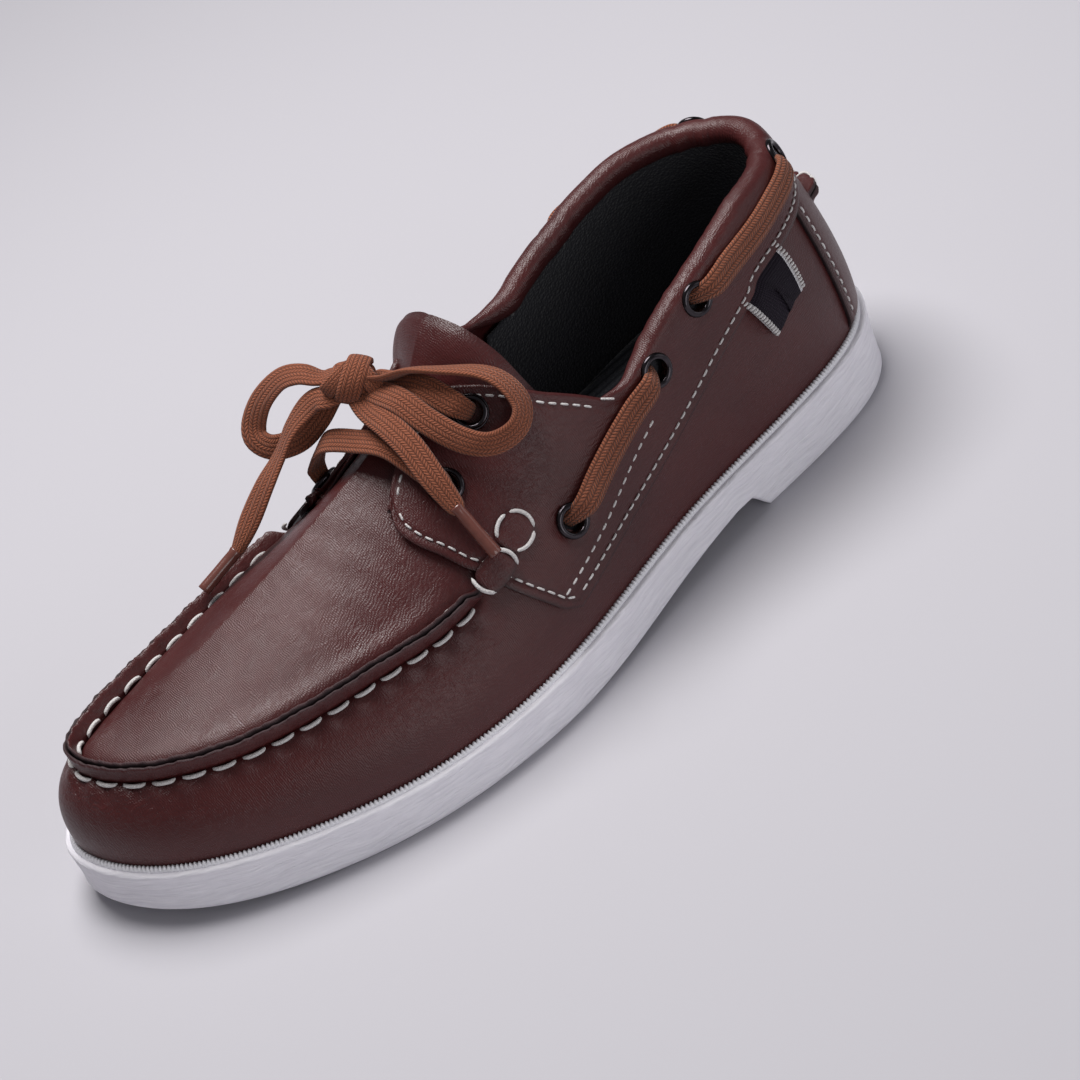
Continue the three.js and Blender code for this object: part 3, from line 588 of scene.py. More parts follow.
def tread_height(y):
    """Height of the tread: a parabola of toe spring ahead of y = -80 mm, a power 1.5 rise to the waist behind
    y = -20 mm, and down the slope of the heel breast to the floor."""
    spring = np.where(y < -0.080, 0.005 * ((-0.080 - y) / 0.066)**2, 0)
    waist = 0.0065 * np.clip((y + 0.020) / 0.078, 0, 1)**1.5
    return np.minimum(spring + waist, np.clip((HEEL_BREAST - y) * 1.25, 0, None))


def half_stations(count):
    """Stations from heel back to toe tip, evenly spaced along the outer foot line."""
    fine = np.linspace(0, TOE, 1101)
    length = run_length(foot_line(fine, 0.003))
    return np.interp(np.linspace(0, length[-1], count), length, fine)


def sole_body():
    """Rings from the tread's edge to the ledge under the leather, each the foot line at its own offset, with the
    tread and the ledge ruled from side to side."""
    half = half_stations(300)
    ring = np.concatenate((half, RIBS - half[-2:0:-1]))
    top = last(ring, 0.0)[:, 2] - SOLE_GAP
    rows = []
    for offset, lift in ((0.0018, 0.0), (0.0023, 0.0001), (0.0027, 0.0005), (0.0030, 0.0012)):
        place = foot_line(ring, offset)
        place[:, 2] = tread_height(place[:, 1]) + lift
        rows.append(place)
    wall_foot = rows[-1][:, 2]
    for rise in np.linspace(0, 1, 15)[1:]:
        place = foot_line(ring, 0.0030 + 0.0001 * rise - 0.00025 * math.sin(math.pi * rise))
        place[:, 2] = wall_foot + (top - 0.0046 - wall_foot) * rise
        rows.append(place)
    for offset, fall in ((0.0031, 0.0036), (0.0032, 0.0026), (0.0033, 0.0016), (0.00335, 0.0010), (0.0033, 0.0006),
                         (0.0030, 0.0003), (0.0026, 0.0001), (0.0020, 0.0001), (0.0012, 0.0002), (0.0002, 0.0004)):
        place = foot_line(ring, offset)
        place[:, 2] = top - fall
        rows.append(place)
    points = [np.stack(rows).reshape(-1, 3)]
    faces = [grid_faces(len(rows), len(ring), close_cols=True)]
    kinds = [np.zeros(len(faces[0]), int)]
    share = np.linspace(0, 1, 19)[None, :, None]
    for row, kind in ((rows[0], 1), (rows[-1], 0)):
        outer, inner = row[:len(half)], np.concatenate((row[:1], row[:len(half) - 1:-1], row[len(half) - 1:len(half)]))
        across = outer[:, None] * (1 - share) + inner[:, None] * share
        if kind:
            across[:, 1:-1, 2] = tread_height(across[:, 1:-1, 1])
        faces.append(grid_faces(len(half), 19) + sum(len(p) for p in points))
        points.append(across.reshape(-1, 3))
        kinds.append(np.full(len(faces[-1]), kind))
    return np.concatenate(points), np.concatenate(faces), np.concatenate(kinds)


def sole_lip(teeth=520):
    """Toothed lip: a small rib against the leather whose crest rises and falls as a row of rounded teeth."""
    half = half_stations(teeth * 2 + 1)
    ring = np.concatenate((half, RIBS - half[-2:0:-1]))
    tooth = np.tile([0.0, 0.6, 1.0, 0.6], teeth)[:len(ring)]
    top = last(ring, 0.0)[:, 2] - SOLE_GAP
    rows = []
    for offset, rise, cut in ((0.0016, -0.0005, 0), (0.0017, 0.0001, 0.0), (0.0015, 0.0007, 0.0003),
                              (0.0012, 0.0015, 0.0010), (0.0007, 0.0017, 0.0011), (0.0002, 0.0014, 0.0009),
                              (-0.0004, 0.0002, 0), (-0.0004, -0.0005, 0)):
        place = foot_line(ring, offset)
        place[:, 2] = top + rise - cut * (1 - tooth)
        rows.append(place)
    return np.stack(rows).reshape(-1, 3), grid_faces(len(rows), len(ring), close_rows=True, close_cols=True)


def streaks_group():
    """Drawn rubber: horizontal streaks that wander up and down, from noise squeezed flat in Z."""
    group, inside, out = new_group("drawn_streaks", ["Fineness"], ["Height"])
    place = group.nodes.new("ShaderNodeTexCoord")
    wander = maths(group, "MULTIPLY", noise(group, 70.0, Detail=1.0), 0.0035)
    split = node(group, "ShaderNodeSeparateXYZ", Vector=place.outputs["Object"])
    rise = maths(group, "ADD", split.outputs["Z"], wander)
    flat = node(group, "ShaderNodeCombineXYZ", X=maths(group, "MULTIPLY", split.outputs["X"], 0.055),
                Y=maths(group, "MULTIPLY", split.outputs["Y"], 0.055), Z=rise)
    lines = node(group, "ShaderNodeTexNoise", Vector=flat.outputs[0], Scale=inside.outputs["Fineness"], Detail=3.0,
                 Roughness=0.6)
    group.links.new(lines.outputs["Fac"], out.inputs["Height"])
    return group


STREAKS = streaks_group()
sole_rubber, tree, surface = new_material("sole_rubber", Roughness=0.5, Specular_IOR_Level=0.4)
streaks = grouped(tree, STREAKS, "Fineness", 1500.0).outputs["Height"]
smudge = maths(tree, "MULTIPLY", noise(tree, 45.0, Detail=3.0), 0.25)
streak_tone = maths(tree, "MULTIPLY", maths(tree, "SUBTRACT", streaks, 0.32), 2.6, clamp=True)
rubber = mix_colours(tree, streak_tone, (0.78, 0.76, 0.82, 1), (0.94, 0.92, 0.97, 1))
tree.links.new(mix_colours(tree, smudge, rubber, (0.80, 0.78, 0.83, 1)), surface.inputs["Base Color"])
bump(tree, surface, streaks, 0.0007, 0.8)

lip_rubber, tree, surface = new_material("lip_rubber", Roughness=0.45)
paint(tree, surface, noise(tree, 60.0, Detail=3.0), (0.90, 0.89, 0.92), (0.80, 0.79, 0.84))
bump(tree, surface, noise(tree, 1200.0), 0.0001)

tread_rubber, tree, surface = new_material("tread_rubber", Roughness=0.6)
place = tree.nodes.new("ShaderNodeTexCoord")
split = node(tree, "ShaderNodeSeparateXYZ", Vector=place.outputs["Object"])
wave = maths(tree, "MULTIPLY", maths(tree, "SINE", maths(tree, "MULTIPLY", split.outputs["X"], 520.0)), 0.0014)
turns = maths(tree, "MULTIPLY", maths(tree, "ADD", split.outputs["Y"], wave), math.pi / 0.0042)
# Painted shade: the tread is painted dark in its grooves.
groove = maths(tree, "MULTIPLY", maths(tree, "ABSOLUTE", maths(tree, "SINE", turns)), 4.0, clamp=True)
paint(tree, surface, groove, (0.30, 0.29, 0.33), (0.76, 0.75, 0.80))
bump(tree, surface, groove, 0.0012)

points, faces, kinds = sole_body()
outsole = add_piece("outsole_moulded", points, faces, [sole_rubber, tread_rubber], kinds)
edit_mesh(outsole, join=1e-6)
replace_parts(outsole, "outsole")
points, faces = sole_lip()
lip = add_piece("outsole_toothed_lip", points, faces, [lip_rubber])
edit_mesh(lip)

# ---------------------------------------------------------------------------------------------
# The insole and the lining
# A foam insole with a striped dark textile, and a black knitted lining glued inside the leather
# up to the collar.
# ---------------------------------------------------------------------------------------------


def thicken(piece, thick, rim=0, round_edge=0.0, outwards=False):
    """Gives a sheet its thickness below its face, with its cut edges rounded."""
    wall = piece.modifiers.new("thickness", "SOLIDIFY")
    wall.thickness = thick
    wall.offset = 1 if outwards else -1
    wall.material_offset_rim = rim
    if round_edge:
        edge = piece.modifiers.new("rounded_edge", "BEVEL")
        edge.width = round_edge
        edge.segments = 3
        edge.limit_method = "ANGLE"
        edge.angle_limit = math.radians(50)
    return piece


HOLE_CUT = 0.0042


def surface_piece(name, grid, materials, closed=False, holes=None, inwards=False):
    """Sheet on a grid of points, turned so that its face looks away from the middle of the shoe, without the faces
    within HOLE_CUT of a hole's middle."""
    rows, cols = grid.shape[:2]
    points, faces = grid.reshape(-1, 3), grid_faces(rows, cols, close_rows=closed)
    corners = points[faces]
    facing = np.cross(corners[:, 2] - corners[:, 0], corners[:, 3] - corners[:, 1])
    away = corners.mean(1) - np.stack((np.full(len(faces), -0.003), corners.mean(1)[:, 1].clip(-0.09, 0.1),
                                       np.full(len(faces), 0.04)), 1)
    if ((facing * away).sum() < 0) != inwards:
        faces = faces[:, ::-1]
    if holes is not None:
        clear = np.linalg.norm(corners.mean(1)[:, None] - holes[None], axis=2).min(1) > HOLE_CUT
        faces = faces[clear]
        used = np.unique(faces)
        renumber = np.full(len(points), -1)
        renumber[used] = np.arange(len(used))
        points, faces = points[used], renumber[faces]
    return add_piece(name, points, faces, materials)


def height_at(station, level):
    """Rib height at which a station of the last stands level above the floor."""
    heights = np.linspace(0, 1, 201)
    return float(np.interp(level, last(np.full(201, float(station)), heights)[:, 2], heights))


MM = 0.001
TOP_LINE = {
    1: [[33, 67.2], [38, 66.4], [46, 69.5], [58, 75.5], [73, 80.5], [90, 85.3], [108, 87.6]],
    -1: [[29, 74], [38, 71.5], [48, 73.5], [60, 77.5], [74, 81.5], [90, 85.3], [108, 87.6]]}
COLLAR_BACK = (0.0, height_at(0, 0.088))
collar_line = smooth_line(np.concatenate((on_last(np.array(TOP_LINE[1]) * MM, SIDE_VIEW, 1), [COLLAR_BACK],
                                          on_last(np.array(TOP_LINE[-1]) * MM, SIDE_VIEW, -1)[::-1])), 400)

half = half_stations(120)
share = np.linspace(0, 1, 41)[None, :, None]
grid = foot_line(half, -0.0034)[:, None] * (1 - share) + foot_line(-half, -0.0034)[:, None] * share
grid[..., 2] = grid[..., 2] + 0.0030 + 0.0012 * (2 * share[..., 0] - 1)**6
insole_textile, tree, surface = new_material("insole_textile", Roughness=0.9, Sheen_Weight=0.3,
                                             Specular_IOR_Level=0.2)
place = tree.nodes.new("ShaderNodeTexCoord")
split = node(tree, "ShaderNodeSeparateXYZ", Vector=place.outputs["Object"])
stripe = maths(tree, "ABSOLUTE", maths(tree, "SINE", maths(tree, "MULTIPLY", split.outputs["X"], math.pi / 0.0026)))
weave = maths(tree, "MULTIPLY", stripe, noise(tree, 1500.0, Detail=2.0))
paint(tree, surface, weave, (0.018, 0.019, 0.024), (0.115, 0.12, 0.135))
bump(tree, surface, weave, 0.0005)
insole = surface_piece("insole_textile_top", grid, [insole_textile])
thicken(insole, 0.0024)
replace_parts(insole, "insole")

station = np.linspace(-5.6, 5.6, 260)
lining_top = np.interp(station, collar_line[::-1, 0], collar_line[::-1, 1]) - 0.05
lining_front = np.interp(np.abs(station), [4.1, 4.3, 4.5, 4.8], [0.35, 0.41, 0.50, 0.62])
lining_top = np.where(np.abs(station) > 4.1, np.minimum(lining_front, 0.60), lining_top)
heights = 0.02 + (lining_top[:, None] - 0.02) * np.linspace(0, 1, 46)
LINING_INSET = 0.0027
grid = skin(np.broadcast_to(station[:, None], heights.shape), heights, -LINING_INSET * np.ones_like(heights))
lining_textile, tree, surface = new_material("lining_textile", Roughness=0.85, Sheen_Weight=0.25, Sheen_Roughness=0.6,
                                             Specular_IOR_Level=0.2)
place = tree.nodes.new("ShaderNodeTexCoord")
knit = node(tree, "ShaderNodeTexVoronoi", Vector=place.outputs["Object"], Scale=1100.0)
paint(tree, surface, noise(tree, 55.0, Detail=3.0), (0.009, 0.009, 0.012), (0.026, 0.026, 0.034))
bump(tree, surface, knit.outputs["Distance"], 0.0004)
lining = surface_piece("lining_textile_sock", grid, [lining_textile], inwards=True)
thicken(lining, 0.0008)

# ---------------------------------------------------------------------------------------------
# The vamp
# Smooth, fine-grained brown leather drawn round the toe. It is gathered a little into the moccasin
# seam, so it puckers at each stitch, and it runs back under the quarter to the heel.
# ---------------------------------------------------------------------------------------------


def leather_group():
    """Leather: fine crossed grain over cells, with soft creases and cloudy dye. Puts out the grain's height, a dye
    tone, a gloss share, and the creases alone."""
    group, inside, out = new_group("leather_grain", ["Grain"], ["Height", "Dye", "Gloss", "Creases"])
    place = group.nodes.new("ShaderNodeTexCoord").outputs["Object"]
    warp = node(group, "ShaderNodeTexNoise", Vector=place, Scale=240.0, Detail=2.0)
    bent = node(group, "ShaderNodeVectorMath", _0=place, _1=(0.0, 0.0, 0.0))
    bent.operation = "ADD"
    small = node(group, "ShaderNodeVectorMath", _0=warp.outputs["Color"], _1=(0.0016, 0.0016, 0.0016))
    small.operation = "MULTIPLY"
    group.links.new(small.outputs[0], bent.inputs[1])
    cells = node(group, "ShaderNodeTexVoronoi", Vector=bent.outputs[0], Scale=inside.outputs["Grain"])
    cells.feature = "DISTANCE_TO_EDGE"
    pebble = maths(group, "MULTIPLY", cells.outputs["Distance"], 3.2, clamp=True)
    turned = node(group, "ShaderNodeMapping", Vector=bent.outputs[0], Rotation=(0.7, 0.5, 0.8), Scale=(1.0, 0.25, 1.0))
    hatch = node(group, "ShaderNodeTexNoise", Vector=turned.outputs[0], Scale=1900.0, Detail=1.0)
    split = node(group, "ShaderNodeSeparateXYZ", Vector=bent.outputs[0])
    east = maths(group, "ADD", split.outputs["X"], maths(group, "MULTIPLY", split.outputs["Z"], 0.7))
    first = maths(group, "SINE", maths(group, "MULTIPLY", maths(group, "ADD", split.outputs["Y"], east), 6200.0))
    across = maths(group, "SUBTRACT", split.outputs["Y"], east)
    second = maths(group, "SINE", maths(group, "MULTIPLY", across, 5400.0))
    crossed = maths(group, "MULTIPLY", maths(group, "MULTIPLY", first, second), hatch.outputs["Fac"])
    fine = maths(group, "ADD", maths(group, "MULTIPLY", pebble, 0.35), maths(group, "MULTIPLY", crossed, 0.85))
    drawn = node(group, "ShaderNodeMapping", Vector=bent.outputs[0], Rotation=(0.2, 0.4, 0.5), Scale=(1.0, 0.22, 1.6))
    creases = node(group, "ShaderNodeTexNoise", Vector=drawn.outputs[0], Scale=420.0, Detail=3.0, Distortion=0.8)
    fine = maths(group, "ADD", fine, maths(group, "MULTIPLY", creases.outputs["Fac"], 1.3))
    valley = maths(group, "ABSOLUTE", maths(group, "SUBTRACT", creases.outputs["Fac"], 0.5))
    group.links.new(maths(group, "MULTIPLY", valley, 4.5, clamp=True), out.inputs["Creases"])
    folds, cloudy = noise(group, 85.0, Detail=4.0, Distortion=0.6), noise(group, 26.0, Detail=3.0)
    for socket, a, a_share, b, b_share in (("Height", fine, 1.0, folds, 0.9), ("Dye", cloudy, 0.75, fine, 0.22),
                                           ("Gloss", folds, 0.16, pebble, -0.06)):
        both = maths(group, "ADD", maths(group, "MULTIPLY", a, a_share), maths(group, "MULTIPLY", b, b_share))
        group.links.new(both, out.inputs[socket])
    return group


LEATHER = leather_group()


def leather(name, dark, light, roughness, grain=1500.0, depth=0.00009):
    """A leather finish over the shared grain: dyed between two tones, darker where its darkening attribute is high,
    for burnished cut edges and for painted shade at the foot of seams, in grooves and splits and along the sole, and
    wrinkled where the creased attribute is."""
    material, tree, surface = new_material(name, Specular_IOR_Level=0.40)
    grained = grouped(tree, LEATHER, "Grain", grain)
    burnish_and_shade = tree.nodes.new("ShaderNodeAttribute")
    burnish_and_shade.attribute_name = "burnish_and_shade"
    dyed = mix_colours(tree, grained.outputs["Dye"], (*dark, 1), (*light, 1))
    # The dark tone for burnished cut edges and for painted shade.
    deep = tuple(0.38 * c for c in dark)
    burnish_and_shade_share = maths(tree, "MULTIPLY", burnish_and_shade.outputs["Fac"], 0.75, clamp=True)
    tree.links.new(mix_colours(tree, burnish_and_shade_share, dyed, (*deep, 1)), surface.inputs["Base Color"])
    tree.links.new(maths(tree, "ADD", grained.outputs["Gloss"], roughness), surface.inputs["Roughness"])
    creased = tree.nodes.new("ShaderNodeAttribute")
    creased.attribute_name = "creased"
    wrinkles = maths(tree, "MULTIPLY", grained.outputs["Creases"], creased.outputs["Fac"])
    height = maths(tree, "ADD", grained.outputs["Height"], maths(tree, "MULTIPLY", wrinkles, 2.4))
    bump(tree, surface, height, depth, 0.9)
    return material


def set_point_attribute(piece, values, name="burnish_and_shade"):
    """Writes how dark each point is made, for burnished cut edges and painted shade, or, under the name creased, how
    deeply it is wrinkled, 0 to 1.
    """
    layer = piece.data.attributes.new(name, "FLOAT", "POINT")
    layer.data.foreach_set("value", np.asarray(values, np.float32).ravel())


upper_leather = leather("upper_leather", (0.028, 0.0052, 0.0062), (0.088, 0.0155, 0.0145), 0.32)
cut_leather = leather("cut_leather", (0.022, 0.009, 0.0105), (0.055, 0.023, 0.026), 0.6, 2400.0)

BAND_LINE = {
    1: [[-6, 26.2], [0, 27.6], [18, 32.4], [34, 37], [48, 42], [62, 48.2], [75, 54.6], [90, 60.7], [104, 65.5]],
    -1: [[-14, 25.6], [-8, 26.4], [10, 30], [28, 35], [44, 40.6], [60, 47.6], [75, 54.6], [90, 60.7], [104, 65.5]]}
BAND_BACK = (0.0, height_at(0, 0.071))
band_line = smooth_line(np.concatenate((on_last(np.array(BAND_LINE[1]) * MM, SIDE_VIEW, 1), [BAND_BACK],
                                        on_last(np.array(BAND_LINE[-1]) * MM, SIDE_VIEW, -1)[::-1])), 400)

MOC_SEAM = [[5.92, .42], [6.4, .425], [7, .46], [7.6, .475], [8.5, .49], [9.2, .53], [10, .58], [11, .61], [12, .62],
            [13, .62], [14, .61], [15, .6], [15.8, .56]]
STITCH_PITCH = 0.0085
seam = smooth_line([(u, v, 0) for u, v in MOC_SEAM], 700)[:, :2]
seam_point = last(seam[:, 0], seam[:, 1])
seam_run = run_length(seam_point)

station = np.concatenate((np.linspace(0, 4.6, 90, endpoint=False), np.linspace(4.6, 17.4, 520, endpoint=False),
                          np.linspace(17.4, 22, 90, endpoint=False)))
signed = np.where(station > TOE, station - RIBS, station)
under_band = np.interp(signed, band_line[::-1, 0], band_line[::-1, 1]) + 0.05
vamp_top = np.where((station >= seam[0, 0]) & (station <= seam[-1, 0]), np.interp(station, seam[:, 0], seam[:, 1]), 0)
to_seam = smoothstep(4.7, 5.3, station) * smoothstep(17.3, 16.7, station)
vamp_top = np.where(vamp_top > 0, vamp_top,
                    under_band * (1 - to_seam) + np.where(station < TOE, seam[0, 1], seam[-1, 1]) * to_seam)
VAMP_ROWS = 42
rows = 1 - (1 - np.linspace(0, 1, VAMP_ROWS))**1.25
heights = -0.012 + (vamp_top[:, None] + 0.012) * rows
bare = last(np.repeat(station[:, None], VAMP_ROWS, 1), heights)
below_seam = np.linalg.norm(bare - bare[:, -1:], axis=2)
reach = np.interp(station, seam[:, 0], seam_run)[:, None]
gathered = (smoothstep(5.8, 6.2, station) * smoothstep(15.9, 15.4, station))[:, None]
at_toe = (smoothstep(8.2, 10.0, station) * smoothstep(15.6, 13.5, station))[:, None]
pucker = 0.5 - 0.5 * np.cos(2 * np.pi * reach / STITCH_PITCH)
lift = gathered * (0.0011 * (pucker - 0.25) * np.exp(-((below_seam - 0.0036) / 0.0028)**2)
                   - 0.0009 * np.exp(-(below_seam / 0.0022)**2))
wrinkle = np.sin(2 * np.pi * reach / 0.0046 + 2.2 * np.sin(reach * 310) + below_seam * 190)
lift = lift + at_toe * 0.00012 * np.exp(-below_seam / 0.007) * wrinkle
grid = skin(np.repeat(station[:, None], VAMP_ROWS, 1), heights, lift)
vamp = surface_piece("vamp_leather", grid, [upper_leather, cut_leather], closed=True)
# Painted shade: the vamp is darker along the foot of the moccasin seam and low down where it meets the sole.
set_point_attribute(vamp, np.exp(-(below_seam / 0.003)**2) * gathered * 0.6 + 0.5 * smoothstep(0.10, 0.0, rows)[None])
set_point_attribute(vamp, np.exp(-(below_seam / 0.014)**2) * (0.25 * gathered + 0.75 * at_toe), "creased")
thicken(vamp, 0.0012, 1)
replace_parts(vamp, "upper")

# ---------------------------------------------------------------------------------------------
# The plug and tongue
# The top of the moccasin, one leather sheet from the toe back through the throat. It dips under
# the two facings and ends in a soft, padded tongue with a rounded top.
# ---------------------------------------------------------------------------------------------

TONGUE_TOP = {1: [[28, 19.5], [22, 16.4], [14, 13.2], [5, 11.2]],
              -1: [[-31, 19], [-26, 16], [-20, 13.2], [-12, 11.4]]}
TONGUE_RIDGE = 4.445
TONGUE_SIDE = {1: [(5.66, .44), (5.35, .50), (5.0, .55), (4.7, .56)],
               -1: [(-5.95, .56), (-5.6, .55), (-5.2, .55), (-4.8, .56)]}
PLUG_ROWS, HALF_PLUG = 300, 60  # from toe to tongue, and from a side to the ridge
RIDGE_COLUMN = HALF_PLUG - 1


def patch(left, right, front, back):
    """Grid between four (station, height) lines: the ruled sheet from left to right, plus what the front and back
    lines differ from straight, faded linearly along it."""
    rows, cols = len(left), len(front)
    s, t = np.linspace(0, 1, rows)[:, None, None], np.linspace(0, 1, cols)[None, :, None]
    ruled = left[:, None] * (1 - t) + right[:, None] * t
    for line, weight in ((front, 1 - s), (back, s)):
        ruled = ruled + weight * (line[None] - (line[:1] * (1 - t) + line[-1:] * t))
    return ruled


def plug_half(side):
    """Half of the plug between the seam and tongue edge on one side and the ridge."""
    edge = seam[seam[:, 0] <= TOE][::-1] if side > 0 else seam[seam[:, 0] >= TOE] - (RIBS, 0)
    top = on_last(np.array(TONGUE_TOP[side]) * MM, PLAN, side)
    left = even(smooth_line(np.concatenate((edge[::12], TONGUE_SIDE[side], top[:1])), 900), PLUG_ROWS)
    ridge_end = side * TONGUE_RIDGE
    along = np.linspace(0, 1, PLUG_ROWS)
    right = np.stack((side * TOE + (ridge_end - side * TOE) * along, np.ones(PLUG_ROWS)), 1)
    back = smooth_line(np.concatenate((top, [(ridge_end, 1.0)])), HALF_PLUG)
    front = np.stack((np.full(HALF_PLUG, float(side * TOE)), np.linspace(left[0, 1], 1, HALF_PLUG)), 1)
    return patch(left, right, front, back)


outer_half, inner_half = plug_half(1), plug_half(-1)
lift_by_y = ([-0.060, -0.036, -0.020, 0.004, 0.016], [0.0, -0.0006, -0.0014, -0.0030, -0.0030])
sheet = np.concatenate((skin(outer_half[..., 0], outer_half[..., 1]),
                        skin(inner_half[..., 0], inner_half[..., 1])[:, -2::-1]), 1)
outward = np.concatenate((normal(outer_half[..., 0], outer_half[..., 1]),
                          normal(inner_half[..., 0], inner_half[..., 1])[:, -2::-1]), 1)
columns = np.arange(sheet.shape[1])
reach = np.abs(columns - RIDGE_COLUMN) / RIDGE_COLUMN
softened = smoothstep(0.92, 0.55, reach)[None, 1:-1]
for _ in range(320):
    sheet[:, 1:-1, 2] += softened * 0.5 * ((sheet[:, :-2, 2] + sheet[:, 2:, 2]) / 2 - sheet[:, 1:-1, 2])
    outward[:, 1:-1] += 0.5 * ((outward[:, :-2] + outward[:, 2:]) / 2 - outward[:, 1:-1])
outward = unit(outward)
drop = np.interp(sheet[..., 1], *lift_by_y)
edge_reach = np.minimum(np.linalg.norm(sheet - sheet[:, :1], axis=2),
                        np.linalg.norm(sheet - sheet[:, -1:], axis=2))
from_top = np.linalg.norm(sheet - sheet[-1:], axis=2)
ahead = smoothstep(-0.030, -0.045, sheet[..., 1])
drop = drop + ahead * (0.0008 * np.exp(-((edge_reach - 0.006) / 0.004)**2)
                       - 0.0010 * np.exp(-(edge_reach / 0.002)**2))
flex = smoothstep(-0.075, -0.050, sheet[..., 1]) * smoothstep(-0.015, -0.035, sheet[..., 1])
drop = drop + flex * 0.00007 * np.sin(sheet[..., 1] * 760 + 2.6 * np.sin(sheet[..., 0] * 130 + sheet[..., 1] * 90))
drop = drop - 0.0010 * np.exp(-(from_top / 0.0016)**2) + 0.0006 * np.exp(-((from_top - 0.008) / 0.005)**2)
dressed = sheet + drop[..., None] * outward
TONGUE_ARCH = np.array([  # a column of the sheet, and where the tongue's padded top edge is there, in millimetres
    [6, 25.0, 18.2, 79.5], [12, 22.5, 17.2, 85.5], [18, 19.5, 16.8, 90.0], [24, 16.0, 15.6, 94.0],
    [32, 11.5, 14.2, 98.2], [42, 6.0, 13.0, 100.2], [54, 0.0, 12.4, 100.6], [66, -6.5, 12.6, 99.9], [76, -13.0, 12.8, 97.6],
    [84, -18.5, 12.5, 94.4], [90, -22.0, 12.0, 89.5], [95, -23.8, 13.0, 82.0], [100, -24.6, 14.6, 72.5]])
held = [106, columns[-1]]  # columns on the inner side where the padding has ended
arch_columns = np.concatenate(([0], TONGUE_ARCH[:, 0], held))
arch = np.concatenate((dressed[-1, :1], TONGUE_ARCH[:, 1:] * MM, dressed[-1, held]))
padded = np.stack([np.interp(columns, arch_columns, arch[:, k]) for k in range(3)], 1) - dressed[-1]
for _ in range(24):
    padded[1:-1] += 0.5 * ((padded[:-2] + padded[2:]) / 2 - padded[1:-1])
depth = np.interp(columns, [50, 80], [0.034, 0.022])
dressed = dressed + smoothstep(0, 1, 1 - from_top / depth)[..., None] * padded
# The first row is folded in two halves that meet. Near the toe each point settles to the mean of its neighbours.
TIP_ROWS = 121
tip = dressed[:TIP_ROWS]
settle = np.exp(-(np.linalg.norm(tip - tip[0, RIDGE_COLUMN], axis=2) / 0.010)**2)[:-1, 1:-1, None]
for _ in range(900):
    before = np.concatenate((tip[1:2, ::-1], tip[:-2]))
    middle = (before[:, 1:-1] + tip[1:, 1:-1] + tip[:-1, :-2] + tip[:-1, 2:]) / 4
    tip[:-1, 1:-1] += settle * 0.9 * (middle - tip[:-1, 1:-1])
    tip[0] = (tip[0] + tip[0, ::-1]) / 2
plug = surface_piece("plug_and_tongue_leather", dressed, [upper_leather, cut_leather])
# Painted shade along the side edges, at the foot of the seam; also darker at the tongue's top edge.
set_point_attribute(plug, 0.40 * np.exp(-(edge_reach / 0.0030)**2) + 0.5 * np.exp(-(from_top / 0.0022)**2))
edit_mesh(plug, join=2e-5, outwards=False)
thicken(plug, 0.0022, 0, 0.0008)
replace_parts(plug, "tongue")

# ---------------------------------------------------------------------------------------------
# The quarter
# One leather band round the heel that widens into the two lacing facings. Its top edge is rolled
# over a foam core to make the collar, and thins to a folded edge along the throat.
# ---------------------------------------------------------------------------------------------

QUARTER_LIFT = 0.0017
THROAT = {  # from the front corner along the throat edge to the collar
    1: [(5.82, .800), (5.62, .842), (5.42, .867), (5.16, .880), (4.99, .874), (4.87, .845), (4.80, .800), (4.70, .725),
        (4.50, .575), (4.40, .517), (4.30, .467)],
    -1: [(-5.96, .735), (-5.72, .762), (-5.48, .790), (-5.24, .815), (-5.02, .832), (-4.90, .820), (-4.78, .775),
         (-4.66, .700), (-4.48, .590), (-4.34, .520)]}
FRONT = {  # from the same corner down the front edge
    1: [(5.93, .730), (5.95, .680), (5.94, .633), (5.90, .575), (5.86, .500), (5.80, .450), (5.76, .383), (5.68, .310),
        (5.56, .225), (5.48, .175)],
    -1: [(-6.06, .700), (-6.10, .640), (-6.04, .560), (-5.96, .500), (-5.90, .440), (-5.84, .370), (-5.76, .290),
         (-5.66, .205), (-5.58, .160)]}
EYELETS = {1: [(5.42, .683), (4.88, .717), (4.96, .325), (3.78, .35), (3.24, .392), (1.34, .49)],
           -1: [(-5.78, .655), (-5.14, .692), (-5.18, .34), (-3.82, .36), (-3.24, .392), (-1.34, .49)]}
eyelet_spots = np.array(EYELETS[1] + EYELETS[-1])
eyelet_points = skin(eyelet_spots[:, 0], eyelet_spots[:, 1], np.full(12, QUARTER_LIFT))
eyelet_normals = normal(eyelet_spots[:, 0], eyelet_spots[:, 1])

FACING_ROWS, BAND_ROWS, COLLAR_CORNER = 120, 330, 4.30
corner = {side: np.array(THROAT[side][:1]) for side in (1, -1)}
throat_edge = {side: smooth_line(np.concatenate((THROAT[side], collar_line[:1] if side > 0 else collar_line[-1:])),
                                 FACING_ROWS) for side in (1, -1)}
top_edge = np.concatenate((throat_edge[1][:-1], smooth_line(collar_line[::8], BAND_ROWS), throat_edge[-1][::-1][1:]))
under_corner = {side: np.argmin(np.abs(band_line[:, 0] - side * COLLAR_CORNER)) for side in (1, -1)}
low_front = {1: band_line[:1], -1: band_line[-1:]}
low_edge = np.concatenate((resample(band_line[:under_corner[1] + 1], FACING_ROWS)[:-1],
                           resample(band_line[under_corner[1]:under_corner[-1] + 1], BAND_ROWS),
                           resample(band_line[under_corner[-1]:], FACING_ROWS)[1:]))
count = len(top_edge)
place_y = last(top_edge[:, 0], top_edge[:, 1])[:, 1]
padding = smoothstep(0.033, 0.052, place_y)
roll = 0.0013 + 0.0028 * padding
top_inner = moved(top_edge, -roll)
COLUMNS = 44
